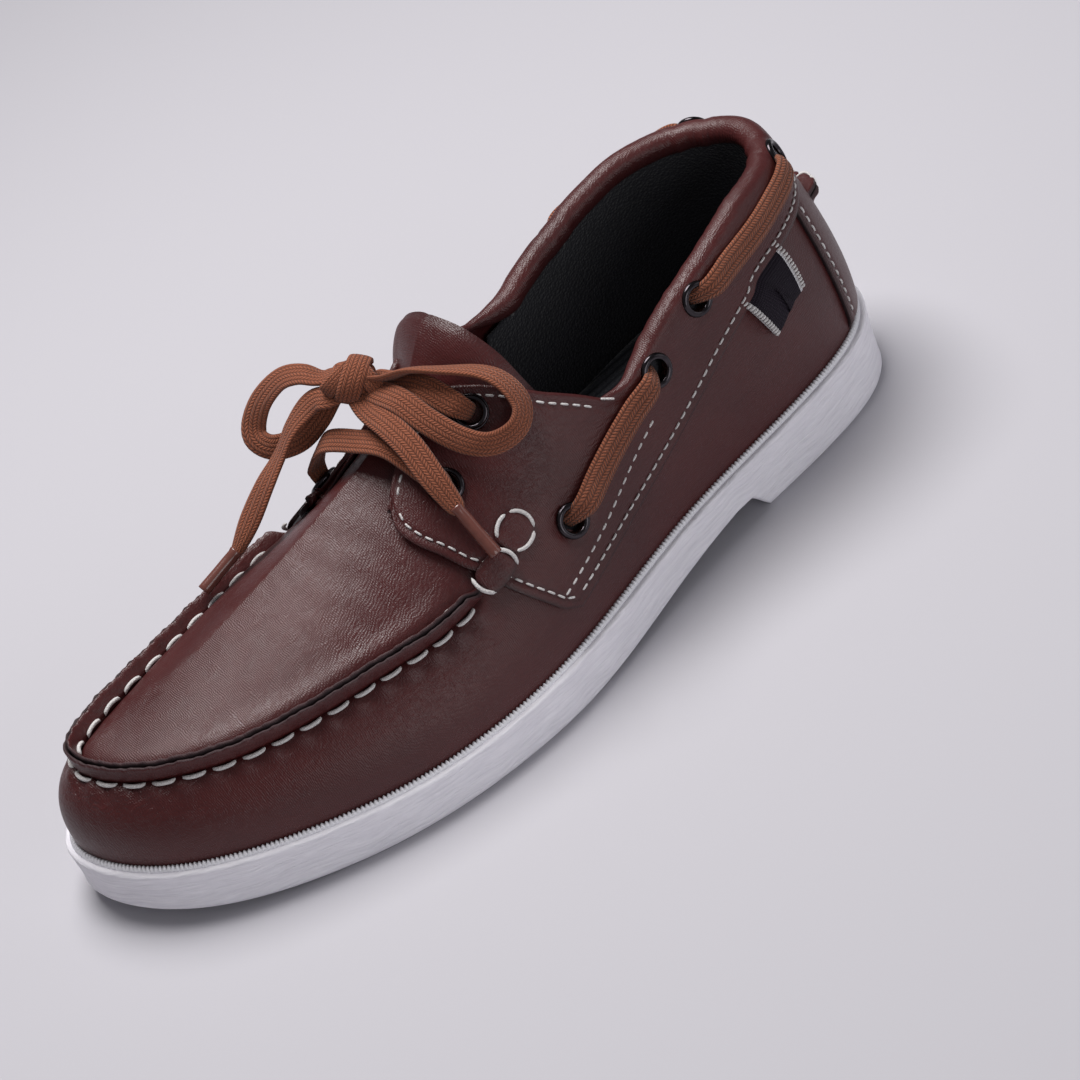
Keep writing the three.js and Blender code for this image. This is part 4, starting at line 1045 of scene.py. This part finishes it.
t = np.linspace(0, 1, COLUMNS)[None, :, None]
area = top_inner[:, None] * (1 - t) + low_edge[:, None] * t
order = np.arange(count)
outer_share = 1 - smoothstep(0, FACING_ROWS + 25, order)
inner_share = smoothstep(count - FACING_ROWS - 26, count - 1, order)
for side, weight in ((1, outer_share), (-1, inner_share)):
    start = top_inner[:1] if side > 0 else top_inner[-1:]
    line = smooth_line(np.concatenate((start, FRONT[side], low_front[side])), COLUMNS)
    area = area + weight[:, None, None] * (line[None] - (line[:1] * (1 - t[0]) + line[-1:] * t[0])[None])
plain = last(area[..., 0], area[..., 1])
from_low = np.minimum(np.linalg.norm(plain - plain[:, -1:], axis=2),
                      np.minimum(np.linalg.norm(plain - plain[:1], axis=2),
                                 np.linalg.norm(plain - plain[-1:], axis=2)))
from_top = np.linalg.norm(plain - plain[:, :1], axis=2)
swell = padding[:, None] * 0.0010 * np.exp(-((from_top - 0.002) / 0.006)**2)
ring_dent = np.zeros_like(from_top)
for spot in eyelet_points:
    ring_dent += 0.0005 * np.exp(-((np.linalg.norm(plain - spot, axis=2) - 0.0055) / 0.0016)**2)
lift = (QUARTER_LIFT + swell - ring_dent - 0.00035 * np.exp(-((from_low - 0.003) / 0.0009)**2)
        - 0.0002 * np.exp(-(from_low / 0.0007)**2)
        - (1 - padding[:, None]) * 0.00030 * np.exp(-((from_top - 0.0024) / 0.0009)**2))
face = skin(area[..., 0], area[..., 1], lift)
upward = unit(face[:, 0] - face[:, 1])
outward = normal(top_inner[:, 0], top_inner[:, 1])
upward = unit(upward - (upward * outward).sum(1, keepdims=True) * outward)
hub = face[:, 0] - outward * roll[:, None]
ROLL_COLUMNS = 22
turn = np.radians(np.linspace(12, 235, ROLL_COLUMNS))
rolled = hub[:, None] + roll[:, None, None] * (np.cos(turn)[None, :, None] * outward[:, None]
                                               + np.sin(turn)[None, :, None] * upward[:, None])
gather = padding[:, None] * 0.00012 * np.sin(order * 1.15 + 1.7 * np.sin(order * 0.21))[:, None]
rolled = rolled + (gather * np.sin(np.clip(turn - 0.6, 0, None))[None])[..., None] * outward[:, None]
grid = np.concatenate((face[:, ::-1], rolled), 1)
quarter = surface_piece("quarter_leather", grid, [upper_leather, cut_leather], holes=eyelet_points)
# Darker at the band's cut low edge, as burnished edge and painted shadow beneath the step; painted shade in the stitch
# groove 3 mm in; and darker on the thin roll along the throat.
quarter_burnish_and_shade = 0.9 * np.exp(-(from_low / 0.0007)**2) + 0.30 * np.exp(-((from_low - 0.003) / 0.0009)**2)
quarter_burnish_and_shade = np.concatenate((quarter_burnish_and_shade[:, ::-1], np.repeat(0.25 * (1 - padding)[:, None], ROLL_COLUMNS, 1)), 1).ravel()
corners = grid.reshape(-1, 3)
numbers = grid_faces(*grid.shape[:2])
from_hole = np.linalg.norm(corners[numbers].mean(1)[:, None] - eyelet_points[None], axis=2).min(1)
used = np.unique(numbers[from_hole > HOLE_CUT])
set_point_attribute(quarter, quarter_burnish_and_shade[used])
thicken(quarter, 0.0014, 1, 0.0004)
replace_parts(quarter, "quarter")

# ---------------------------------------------------------------------------------------------
# The heel counter
# A leather panel cupped round the heel under the band, from the outer side to the inner waist,
# stitched down its front edges.
# ---------------------------------------------------------------------------------------------

COUNTER_LIFT = 0.0016
counter_front = {1: [[120, 69], [121, 60], [122.5, 45], [123.5, 32], [124, 24]],
                 -1: [[92, 60.5], [91, 52], [89, 42], [86.5, 30], [85, 23]]}
counter_edge = {side: smooth_line(on_last(np.array(p) * MM, SIDE_VIEW, side), 40)
                for side, p in counter_front.items()}
counter_top = smooth_line(np.concatenate((counter_edge[1][:1], [(0.0, height_at(0, 0.072))],
                                          counter_edge[-1][:1])), 240)
counter_top[:, 1] = np.interp(counter_top[:, 0], band_line[::-1, 0], band_line[::-1, 1]) + 0.03
counter_foot = np.stack((np.linspace(counter_edge[1][-1, 0], counter_edge[-1][-1, 0], 240),
                         np.full(240, -0.012)), 1)
left, right = counter_edge[1].copy(), counter_edge[-1].copy()
left[0, 1], right[0, 1], left[-1, 1], right[-1, 1] = counter_top[0, 1], counter_top[-1, 1], -0.012, -0.012
area = patch(left, right, counter_top, counter_foot)
plain = last(area[..., 0], area[..., 1])
from_front = np.minimum(np.linalg.norm(plain - plain[:, :1], axis=2),
                        np.linalg.norm(plain - plain[:, -1:], axis=2))
from_foot = np.linalg.norm(plain - plain[-1:], axis=2)
lift = (COUNTER_LIFT - 0.0004 * np.exp(-(from_front / 0.0008)**2)
        - 0.0003 * np.exp(-((from_front - 0.003) / 0.0009)**2))
grid = skin(area[..., 0], area[..., 1], lift)
counter = surface_piece("heel_counter_leather", grid, [upper_leather, cut_leather])
# Darker at the stitched front edges, as burnished edge and painted shade, and painted shade low down at the sole.
set_point_attribute(counter, 0.9 * np.exp(-(from_front / 0.0014)**2) + 0.4 * np.exp(-(from_foot / 0.004)**2))
thicken(counter, 0.0015, 1, 0.0004)
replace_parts(counter, "heel_counter")

# ---------------------------------------------------------------------------------------------
# The moccasin seam and the heel pinch
# Vamp and plug leather turned up against each other and whip-stitched by hand, so that two raw
# edges stand up with a dark split between them. The heel has a short pinch sewn the same way.
# ---------------------------------------------------------------------------------------------

thread_cotton, tree, surface = new_material("thread_cotton", Roughness=0.7, Sheen_Weight=0.2)
twist = noise(tree, 2300.0, Detail=1.0)
paint(tree, surface, twist, (0.40, 0.37, 0.36), (0.86, 0.84, 0.83))
bump(tree, surface, twist, 0.0003)


def threads(name, runs, radius, ring=8):
    """Threads along runs, an array of (thread, place, xyz): a round section carried along each from x = -1 to 1,
    its radius times the square root of 1 - x^8."""
    runs = np.asarray(runs, float)
    number, steps = runs.shape[:2]
    along = unit(np.gradient(runs, axis=1))
    side = unit(np.cross(along, np.array([0.31, 0.22, 0.93])))
    over = np.cross(along, side)
    x = np.linspace(-1, 1, steps)
    size = radius * np.sqrt(np.clip(1 - x**8, 0.02, 1))
    angle = np.linspace(0, 2 * np.pi, ring, endpoint=False)
    section = np.cos(angle)[:, None] * side[:, :, None] + np.sin(angle)[:, None] * over[:, :, None]
    points = (runs[:, :, None] + size[None, :, None, None] * section).reshape(-1, 3)
    one = grid_faces(steps, ring, close_cols=True)
    faces = (one[None] + (np.arange(number) * steps * ring)[:, None, None]).reshape(-1, 4)
    return edit_mesh(add_piece(name, points, faces, [thread_cotton]), close=True)


def line_frame(line, lift=0.0):
    """Point, run, left and outward normal along a (station, height) line."""
    lift = np.broadcast_to(lift, len(line))
    point, outward = skin(line[:, 0], line[:, 1], lift), normal(line[:, 0], line[:, 1])
    run = unit(np.gradient(point, axis=0))
    return point, run, unit(np.cross(outward, run)), outward


def raised_edges(name, line, high, thick, lean, lift=0.0, ragged=0.00009):
    """Two leather edges standing on a line of the last: each a rounded upright bar, 0.12 mm apart at the foot. They
    fade into the surface at both ends; their tops wander by a sum of sines, as cut leather does."""
    point, run, left, outward = line_frame(line, lift)
    s = run_length(point)
    fade = smoothstep(0, 0.006, s) * smoothstep(0, 0.006, s[-1] - s)
    pinch = 1 + 0.10 * np.cos(2 * np.pi * s / STITCH_PITCH)
    pieces, kinds = [], []
    for turn in (1, -1):
        uneven = ragged * 2.2 * (np.sin(s * 1400 + turn) + 0.7 * np.sin(s * 2300 + 2 * turn) + 1.2 * np.sin(s * 540))
        section = [(-0.5, -0.0012 / high), (0.5, -0.0012 / high), (0.62, 0.25), (0.55, 0.70), (0.42, 0.93), (0.2, 1.0),
                   (-0.25, 1.0), (-0.46, 0.94), (-0.5, 0.70), (-0.5, 0.25)]
        rows = []
        for across, level in section:
            rise = level * high * fade + (uneven * fade if level > 0.6 else 0)
            offset = turn * (across * thick * pinch + thick / 2 + 0.00006 + 0.00022 * max(level, 0)) + lean * rise
            rows.append(point + left * np.broadcast_to(offset, len(s))[:, None]
                        + outward * np.broadcast_to(rise, len(s))[:, None])
        pieces.append(np.stack(rows, 1))
    points = np.concatenate([p.reshape(-1, 3) for p in pieces])
    one = grid_faces(len(s), 10, close_cols=True)
    faces = np.concatenate((one, one + len(s) * 10))
    kind = np.where(np.isin(np.arange(len(one)) % 10, (5, 6, 7, 8, 9)), 1, 0)
    piece = add_piece(name, points, faces, [upper_leather, cut_leather], np.concatenate((kind, kind)))
    edit_mesh(piece)
    # Painted shade: the inner walls of both edges, facing the split between them, are painted dark.
    wall = np.where(np.isin(np.arange(10), (7, 8, 9)), 1.0, 0.0)
    set_point_attribute(piece, np.tile(wall, 2 * len(s)))
    return piece, (point, run, left, outward, s)


def whip_stitches(frame_data, first, end, side, near, far, low, high, slant, half_length):
    """Paths of hand stitches along a raised seam. Each runs half_length either way from its place; near and low are
    its end's offset and level, far and high its middle's, and slant draws its far end across the seam."""
    point, run, left, outward, s = frame_data
    middles = np.arange(first, end, STITCH_PITCH)
    x = np.linspace(-1, 1, 11)
    reach = middles[:, None] + x[None] * half_length
    at = [pick(reach, s, part) for part in (point, left, outward)]
    bow = np.sqrt(np.clip(1 - x**2, 0, 1))[None, :, None]
    across = side * (near + (far - near) * bow + slant * x[None, :, None])
    level = low + (high - low) * bow
    return at[0] + at[1] * across + at[2] * level


seam_line = even(seam, 900)
inward_lean = 0.10 - 0.50 * smoothstep(12.6, 10.8, seam_line[:, 0])
moc_ridge, ridge_frame = raised_edges("moccasin_seam_edges", seam_line, 0.0049, 0.0012, inward_lean, ragged=0.00006)
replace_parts(moc_ridge, "moc_seam")
ridge_length = ridge_frame[4][-1]
outer_whip = whip_stitches(ridge_frame, 0.008, ridge_length - 0.006, 1, 0.0014, 0.0025, -0.0007, 0.0003, 0, 0.0036)
toe_start = float(np.interp(9.0, seam_line[:, 0], ridge_frame[4]))
inner_whip = whip_stitches(ridge_frame, toe_start, ridge_length - 0.012, -1, 0.0014, 0.0021, -0.0003, 0.0010, -0.0004,
                           0.0034)
first_whip = whip_stitches(ridge_frame, 0.012, 0.022, -1, 0.0016, 0.0026, -0.0002, 0.0010, -0.0006, 0.0026)
threads("moccasin_seam_thread", np.concatenate((outer_whip, inner_whip, first_whip)), 0.00062)

pinch_line = smooth_line(np.array([[2.5, .26], [1.5, .29], [.6, .31], [-.9, .33]]) * (-1, 1), 260)
heel_ridge, pinch_frame = raised_edges("heel_pinch_edges", pinch_line, 0.0042, 0.0016, 0.0, COUNTER_LIFT)
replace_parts(heel_ridge, "heel_pinch")
x = np.linspace(-1, 1, 13)
places = np.arange(0.006, pinch_frame[4][-1] - 0.004, 0.0078)
reach = places[:, None] + 0.0022 * x[None]
at = [pick(reach, pinch_frame[4], part) for part in (pinch_frame[0], pinch_frame[2], pinch_frame[3])]
over = at[0] + at[1] * (0.0022 * x)[None, :, None] + at[2] * (0.0008 + 0.0042 * np.sqrt(1 - x**4))[None, :, None]
threads("heel_pinch_thread", over, 0.00055)

# ---------------------------------------------------------------------------------------------
# The seam tabs
# At each end of the moccasin seam a leather tab is folded over the seam's end, against the facing,
# with an oval patch and a few thick stitches to hold it.
# ---------------------------------------------------------------------------------------------


TAB_STEPS = 40


def tab(name, line, width, thick, lift, crown=0.3):
    """Leather strip on a line of the last with rounded ends: width times (1 - x^4)^(1/2) across, thickness domed."""
    point, run, left, outward = line_frame(smooth_line(np.asarray(line), TAB_STEPS), lift)
    x = np.linspace(-1, 1, TAB_STEPS)
    wide = width * np.sqrt(np.clip(1 - np.abs(x)**4, 0.01, 1))
    cross = np.linspace(-0.5, 0.5, 15)
    dome = thick * (1 - crown * (2 * cross)**4)[None] * np.sqrt(np.clip(1 - np.abs(x)**10, 0.05, 1))[:, None]
    grid = (point[:, None] + left[:, None] * (wide[:, None] * cross[None])[..., None]
            + outward[:, None] * dome[..., None])
    piece = surface_piece(name, grid, [upper_leather, cut_leather])
    rim = np.maximum(np.abs(2 * cross)[None], np.abs(x)[:, None])
    set_point_attribute(piece, 0.7 * smoothstep(0.72, 1.0, rim))
    return thicken(piece, thick, 1, 0.0003)


SEAM_TABS = {"lateral": [(5.54, .428), (5.90, .424)], "medial": [(-5.80, .535), (-6.20, .540)]}
tapered_lift = np.linspace(QUARTER_LIFT + 0.0008, 0.0010, TAB_STEPS)
for side, line in SEAM_TABS.items():
    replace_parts(tab(f"seam_tab_{side}_leather", line, 0.0088, 0.0013, tapered_lift), f"seam_tab_{side}")
PATCH = {"lateral": (5.36, .450), "medial": (-5.60, .545)}
knots = []
for side, (u, v) in PATCH.items():
    away = 1 if u > 0 else -1
    tab(f"oval_patch_{side}_leather", [(u + 0.17 * away, v - 0.006), (u - 0.15 * away, v + 0.006)], 0.0100, 0.0009,
        QUARTER_LIFT + 0.0002)
    centre, look = skin(u, v, np.array(QUARTER_LIFT + 0.0008)), normal(u, v)
    east = unit(last(u - 0.1 * away, v + 0.003) - last(u, v))
    north = np.cross(look, east)
    for first, final in ((-150, -62), (-52, 52), (62, 140)):
        angle = np.radians(np.linspace(first, final, 11))
        knots.append(centre + 0.0056 * np.cos(angle)[:, None] * east + 0.0052 * np.sin(angle)[:, None] * north)
    x = np.linspace(-1, 1, 11)[:, None]
    levels = (QUARTER_LIFT + 0.0022, 0.0026)
    start, end = (skin(a, b, np.array(level)) for (a, b), level in zip(SEAM_TABS[side], levels))
    for share in (0.12, 0.92):
        middle = start + (end - start) * share
        knots.append(middle + 0.0040 * x * north - 0.0016 * (1 - x**2) * east * (1 if share > 0.5 else -1)
                     - 0.0010 * x**2 * look)
threads("seam_tab_thread", np.array(knots), 0.00060)

# ---------------------------------------------------------------------------------------------
# The topstitching
# White lock stitches sunk in the leather, 3 mm inside the edges of the quarter and the counter, with
# a second row where the band turns the front corner, and a bar tack at the collar's corner.
# ---------------------------------------------------------------------------------------------


def stitch_row(line, lift, pitch=0.0034, length=0.0026):
    """Paths of lock stitches along a (station, height) line: each is 0.12 - 0.50 x^4 mm above lift, so it dives into
    the leather at its ends, where x is -1 and 1."""
    point, run, left, outward = line_frame(line, lift)
    s = run_length(point)
    middles = np.linspace(pitch / 2, s[-1] - pitch / 2, max(2, int(s[-1] / pitch)))
    x = np.linspace(-1, 1, 7)
    reach = middles[:, None] + x[None] * length / 2
    base, out = (pick(reach, s, part) for part in (point, outward))
    return base + out * (0.00012 - 0.00050 * x**4)[None, :, None]


rows = []
sunk = QUARTER_LIFT - 0.0001
inside = moved(band_line, 0.0030)
rows.append(stitch_row(even(inside[3:-3], 900), sunk))
for side in (1, -1):
    second = np.array([(5.42, .205), (5.12, .217), (4.72, .235), (4.32, .262), (3.98, .282)]) * (side, 1)
    rows.append(stitch_row(smooth_line(second, 200), sunk))
    front = smooth_line(np.concatenate((corner[side], FRONT[side], low_front[side])), 160)
    rows.append(stitch_row(moved(front, 0.0030 * side)[8:-8], sunk))
    throat = moved(throat_edge[side][::side], -0.0032)
    rows.append(stitch_row(resample(throat[6:-3] if side > 0 else throat[3:-6], 200), sunk))
    rows.append(stitch_row(moved(counter_edge[side], 0.0028 * side)[1:-3], COUNTER_LIFT - 0.0001))
    tack = throat_edge[side][-1] + [(0.02 * side, 0.004), (-0.05 * side, -0.022)]
    rows.append(stitch_row(resample(tack, 12), QUARTER_LIFT + 0.0001, 0.0012, 0.0022))
threads("topstitching", np.concatenate(rows), 0.00034, ring=6)

# ---------------------------------------------------------------------------------------------
# The eyelets
# Twelve rolled gunmetal eyelets, clenched through the quarter: four along each side for the side
# laces and two in each facing for the bow.
# ---------------------------------------------------------------------------------------------

eyelet_metal, tree, surface = new_material("eyelet_metal", Metallic=1.0, Roughness=0.24)
rub = noise(tree, 420.0, Detail=4.0)
paint(tree, surface, rub, (0.020, 0.018, 0.021), (0.075, 0.066, 0.072))
tree.links.new(maths(tree, "ADD", maths(tree, "MULTIPLY", rub, 0.18), 0.10), surface.inputs["Roughness"])
bump(tree, surface, rub, 0.00008)


def turned_at_holes(profile, closed, sides=36):
    """Points and faces of a profile of (radius, height) turned round the normal of each eyelet's spot."""
    ring = np.linspace(0, 2 * np.pi, sides, endpoint=False)
    one = grid_faces(len(profile), sides, close_rows=closed, close_cols=True)
    points = []
    for spot, look in zip(eyelet_points, eyelet_normals):
        east = unit(np.cross([0.0, 0.3, 1.0], look))
        circle = np.cos(ring)[:, None] * east + np.sin(ring)[:, None] * np.cross(look, east)
        points.append(spot + profile[:, None, :1] * circle[None] + profile[:, None, 1:] * look)
    starts = np.arange(len(points)) * len(profile) * sides
    return np.array(points).reshape(-1, 3), (one[None] + starts[:, None, None]).reshape(-1, 4)


turn = np.radians(np.linspace(200, -20, 13))
flange = np.stack((0.00425 + 0.00105 * np.cos(turn), 0.00035 + 0.00105 * np.sin(turn)), 1)
profile = np.concatenate((flange[::-1], [(0.0031, -0.0002), (0.0030, -0.0012), (0.0031, -0.0030), (0.0034, -0.0034),
                                         (0.0039, -0.0032), (0.0039, -0.0006), (0.0050, -0.0004)]))
points, faces = turned_at_holes(profile, closed=True)
eyelets = edit_mesh(add_piece("eyelets_rolled", points, faces, [eyelet_metal]))
names = ["front_low", "front_high", "side_1", "side_2", "side_3", "side_4"]
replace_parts(eyelets, *(f"eyelet_{name}_{side}" for side in ("lateral", "medial") for name in names))

# The dark inside of each hole: a cup of lining cloth behind the eyelet.
cup = np.array([(0.0036, -0.0028), (0.0034, -0.0040), (0.0020, -0.0045), (0.00005, -0.0046)])
points, faces = turned_at_holes(cup, closed=False)
hole_cups = add_piece("eyelet_hole_backing", points, faces[:, ::-1], [lining_textile])
thicken(hole_cups, 0.0004)

# ---------------------------------------------------------------------------------------------
# The side laces and the crossings
# The same braided lace threaded through the side eyelets, where it shows as two runs on each side,
# and crossed twice over the tongue between the facings.
# ---------------------------------------------------------------------------------------------

RUNS = {"front_lateral": [(3.78, .35), (4.96, .325)], "rear_lateral": [(1.34, .49), (2.3, .43), (3.24, .392)],
        "front_medial": [(-5.18, .34), (-3.82, .36)], "rear_medial": [(-3.24, .392), (-2.3, .43), (-1.34, .49)]}
side_lace = braided("side_lace_cotton", 5.0, ((0.060, 0.017, 0.009), (0.090, 0.026, 0.013)),
                    ((0.31, 0.095, 0.046), (0.38, 0.125, 0.062)), 1.6, 1.0, 0.0005, Roughness=0.8)
for name, line in RUNS.items():
    fine = smooth_line([(u, v) for u, v in line], 120)
    point, run, left, outward = line_frame(fine)
    s = run_length(point)
    places = np.array([0.0, 0.0012, 0.0030, 0.0052, 0.0085, 0.0140])
    places = np.concatenate((places, [s[-1] / 2], s[-1] - places[::-1]))
    levels = np.array([-0.0018, 0.0004, 0.0026, 0.0042, 0.0044, 0.0037])
    levels = np.concatenate((levels, [0.0034], levels[::-1]))
    widths = np.array([0.0050, 0.0054, 0.0062, 0.0072, 0.0078, 0.0080])
    widths = np.concatenate((widths, [0.0080], widths[::-1]))
    at = [pick(places, s, part) for part in (point, outward)]
    piece, _ = ribbon(f"lace_side_{name}_braided", at[0] + at[1] * levels[:, None], at[1], side_lace, widths,
                      np.full(len(places), 0.0030), step=0.0008, ring=28)
    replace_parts(piece, f"lace_side_{name}")

for name, low, route in (("front_low", 0, [(8, -20.5, 81.3), (-3, -24, 82.0), (-15, -27.5, 80)]),
                         ("front_high", 1, [(8, -4.5, 91), (-2, -7, 90.6), (-10, -8.5, 89.4)])):
    ends = [(eyelet_points[low], eyelet_normals[low]), (eyelet_points[6 + low], eyelet_normals[6 + low])]
    middle = np.array(route) * MM
    climb = ((-0.0018, 0.0000), (0.0010, 0.0008), (0.0030, 0.0030), (0.0032, 0.0062))  # out of the hole, along
    start, finish = ([spot + look * level + unit(near - spot) * reach for level, reach in climb]
                     for (spot, look), near in zip(ends, (middle[0], middle[-1])))
    route = np.concatenate((start, middle, finish[::-1]))
    looks = np.concatenate(([ends[0][1]] * 4, [unit(np.array([0.1, -0.35, 1.0]))] * len(middle), [ends[1][1]] * 4))
    widths = [0.0052, 0.0058, 0.0068, 0.0076] + [0.0076] * len(middle) + [0.0076, 0.0068, 0.0058, 0.0052]
    piece, _ = ribbon(f"lace_crossing_{name}_braided", route, looks, lace_cotton, widths,
                      np.full(len(route), 0.0019))
    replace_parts(piece, f"lace_crossing_{name}")

# ---------------------------------------------------------------------------------------------
# The knot
# The bow's hard middle: one turn of lace drawn round the two loops, over a core of crushed lace.
# ---------------------------------------------------------------------------------------------

BALL_ROWS, BALL_SIDES = 30, 44
a, b = np.meshgrid(np.linspace(0, np.pi, BALL_ROWS), np.linspace(0, 2 * np.pi, BALL_SIDES, endpoint=False),
                   indexing="ij")
ball = np.stack((np.sin(a) * np.cos(b), np.sin(a) * np.sin(b), np.cos(a)), -1)
crush = 1 + 0.07 * np.sin(5 * b + 2 * a) * np.sin(a) + 0.05 * np.sin(9 * a)
core = KNOT + (ball * crush[..., None] * (0.0070, 0.0050, 0.0042)) @ np.stack((RIGHT, UP, BACK))
faces = grid_faces(BALL_ROWS, BALL_SIDES, close_cols=True)
knot_core = add_piece("lace_knot_core", core, faces, [lace_cotton])
set_uv(knot_core, np.stack((np.sin(a).ravel() * 0.5 * np.cos(b).ravel(), a.ravel() * 0.5), 1))
edit_mesh(knot_core, join=1e-5)
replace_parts(knot_core, "lace_knot")


def wrap(name, tilt, wide, tall, offset, spread, width):
    """A turn of lace round the knot: an ellipse wide by tall in the plane across the knot's length, tilted."""
    angle = np.radians(np.linspace(-215, 120, 22))
    loop = np.stack((np.sin(angle) * math.sin(tilt) * tall + spread * np.sin(angle / 2), np.sin(angle) * math.cos(tilt)
                     * tall, np.cos(angle) * wide), 1)
    out = np.stack((np.sin(angle) * math.sin(tilt) * 0.6, np.sin(angle) * math.cos(tilt), np.cos(angle)), 1)
    return ribbon(name, KNOT + looking(loop + (offset, 0, 0)), looking(out), lace_cotton, width, 0.0018)[0]


wrap("lace_knot_turn", 0.25, 0.0050, 0.0062, 0.0, 0.0008, 0.0068)
wrap("lace_knot_tuck", -0.75, 0.0043, 0.0058, 0.0042, 0.0010, 0.0052)
wrap("lace_knot_under", 0.85, 0.0041, 0.0054, -0.0040, -0.0010, 0.0050)

# ---------------------------------------------------------------------------------------------
# The side tag
# A plain woven tag folded in two, dark aubergine with white overlocked edges, its ends caught
# under the band on the outer side of the heel.
# ---------------------------------------------------------------------------------------------

tag_woven, tree, surface = new_material("tag_woven", Roughness=0.7, Specular_IOR_Level=0.2)
place = tree.nodes.new("ShaderNodeUVMap")
place.uv_map = "weave"
split = node(tree, "ShaderNodeSeparateXYZ", Vector=place.outputs[0])
warp = maths(tree, "ABSOLUTE", maths(tree, "SINE", maths(tree, "MULTIPLY", split.outputs["X"], 130.0)))
weft = maths(tree, "ABSOLUTE", maths(tree, "SINE", maths(tree, "MULTIPLY", split.outputs["Y"], 150.0)))
edge = maths(tree, "GREATER_THAN", maths(tree, "ABSOLUTE", split.outputs["X"]), 0.44)
cloth = mix_colours(tree, maths(tree, "MULTIPLY", warp, weft), (0.005, 0.003, 0.007, 1), (0.016, 0.009, 0.019, 1))
yarn = mix_colours(tree, weft, (0.42, 0.40, 0.42, 1), (0.84, 0.83, 0.85, 1))
tree.links.new(mix_colours(tree, edge, cloth, yarn), surface.inputs["Base Color"])
bump(tree, surface, maths(tree, "MULTIPLY", warp, weft), 0.00025)

TAG_DROP, TAG_COLUMNS, TAG_ROWS = 0.0148, 40, 30
tag_stations = np.linspace(2.36, 2.90, 6)
tag_heights = np.interp(tag_stations, band_line[::-1, 0], band_line[::-1, 1])
tag_top = smooth_line(np.stack((tag_stations, tag_heights), 1), TAG_COLUMNS)
fold = np.linspace(0, np.pi, 12)[1:-1]
share = np.concatenate((np.linspace(-0.14, 1, TAG_ROWS), 1 + 0.06 * np.sin(fold), np.linspace(1, -0.14, TAG_ROWS)))
level = np.concatenate((0.0021 + 0.0006 * np.sin(np.linspace(0, np.pi, TAG_ROWS)), 0.0013 + 0.0008 * np.cos(fold),
                        np.full(TAG_ROWS, 0.0005)))
level = level + np.where(share < 0.10, -0.0011 * (0.10 - np.minimum(share, 0.10)) / 0.24, 0)
tag_grid = np.stack([skin(*moved(tag_top, TAG_DROP * part).T, np.full(TAG_COLUMNS, above))
                     for part, above in zip(share, level)], 1)
tag = surface_piece("side_tag_folded", tag_grid, [tag_woven])
uv_x = np.repeat(np.linspace(-0.5, 0.5, TAG_COLUMNS), len(share))
set_uv(tag, np.stack((uv_x, np.tile(np.linspace(0, 1, len(share)), TAG_COLUMNS)), 1))
thicken(tag, 0.0007, 0, 0.0002)
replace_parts(tag, "tag")
hem = []
x = np.linspace(-1, 1, 7)[:, None]
out = normal(2.4, 0.22)
across = unit(tag_grid[0, 5] - tag_grid[-1, 5]) * 0.0011
for row in (tag_grid[0], tag_grid[-1]):
    front = resample(row[:TAG_ROWS], 15)
    for before, after in zip(front[:-1], front[1:]):
        hem.append((before + after) / 2 + across * (0.3 + 0.9 * x) + out * (0.0004 - 0.0006 * x**2)
                   + (after - before) * 0.25 * x)
threads("side_tag_overlock", np.array(hem), 0.00042, ring=6)
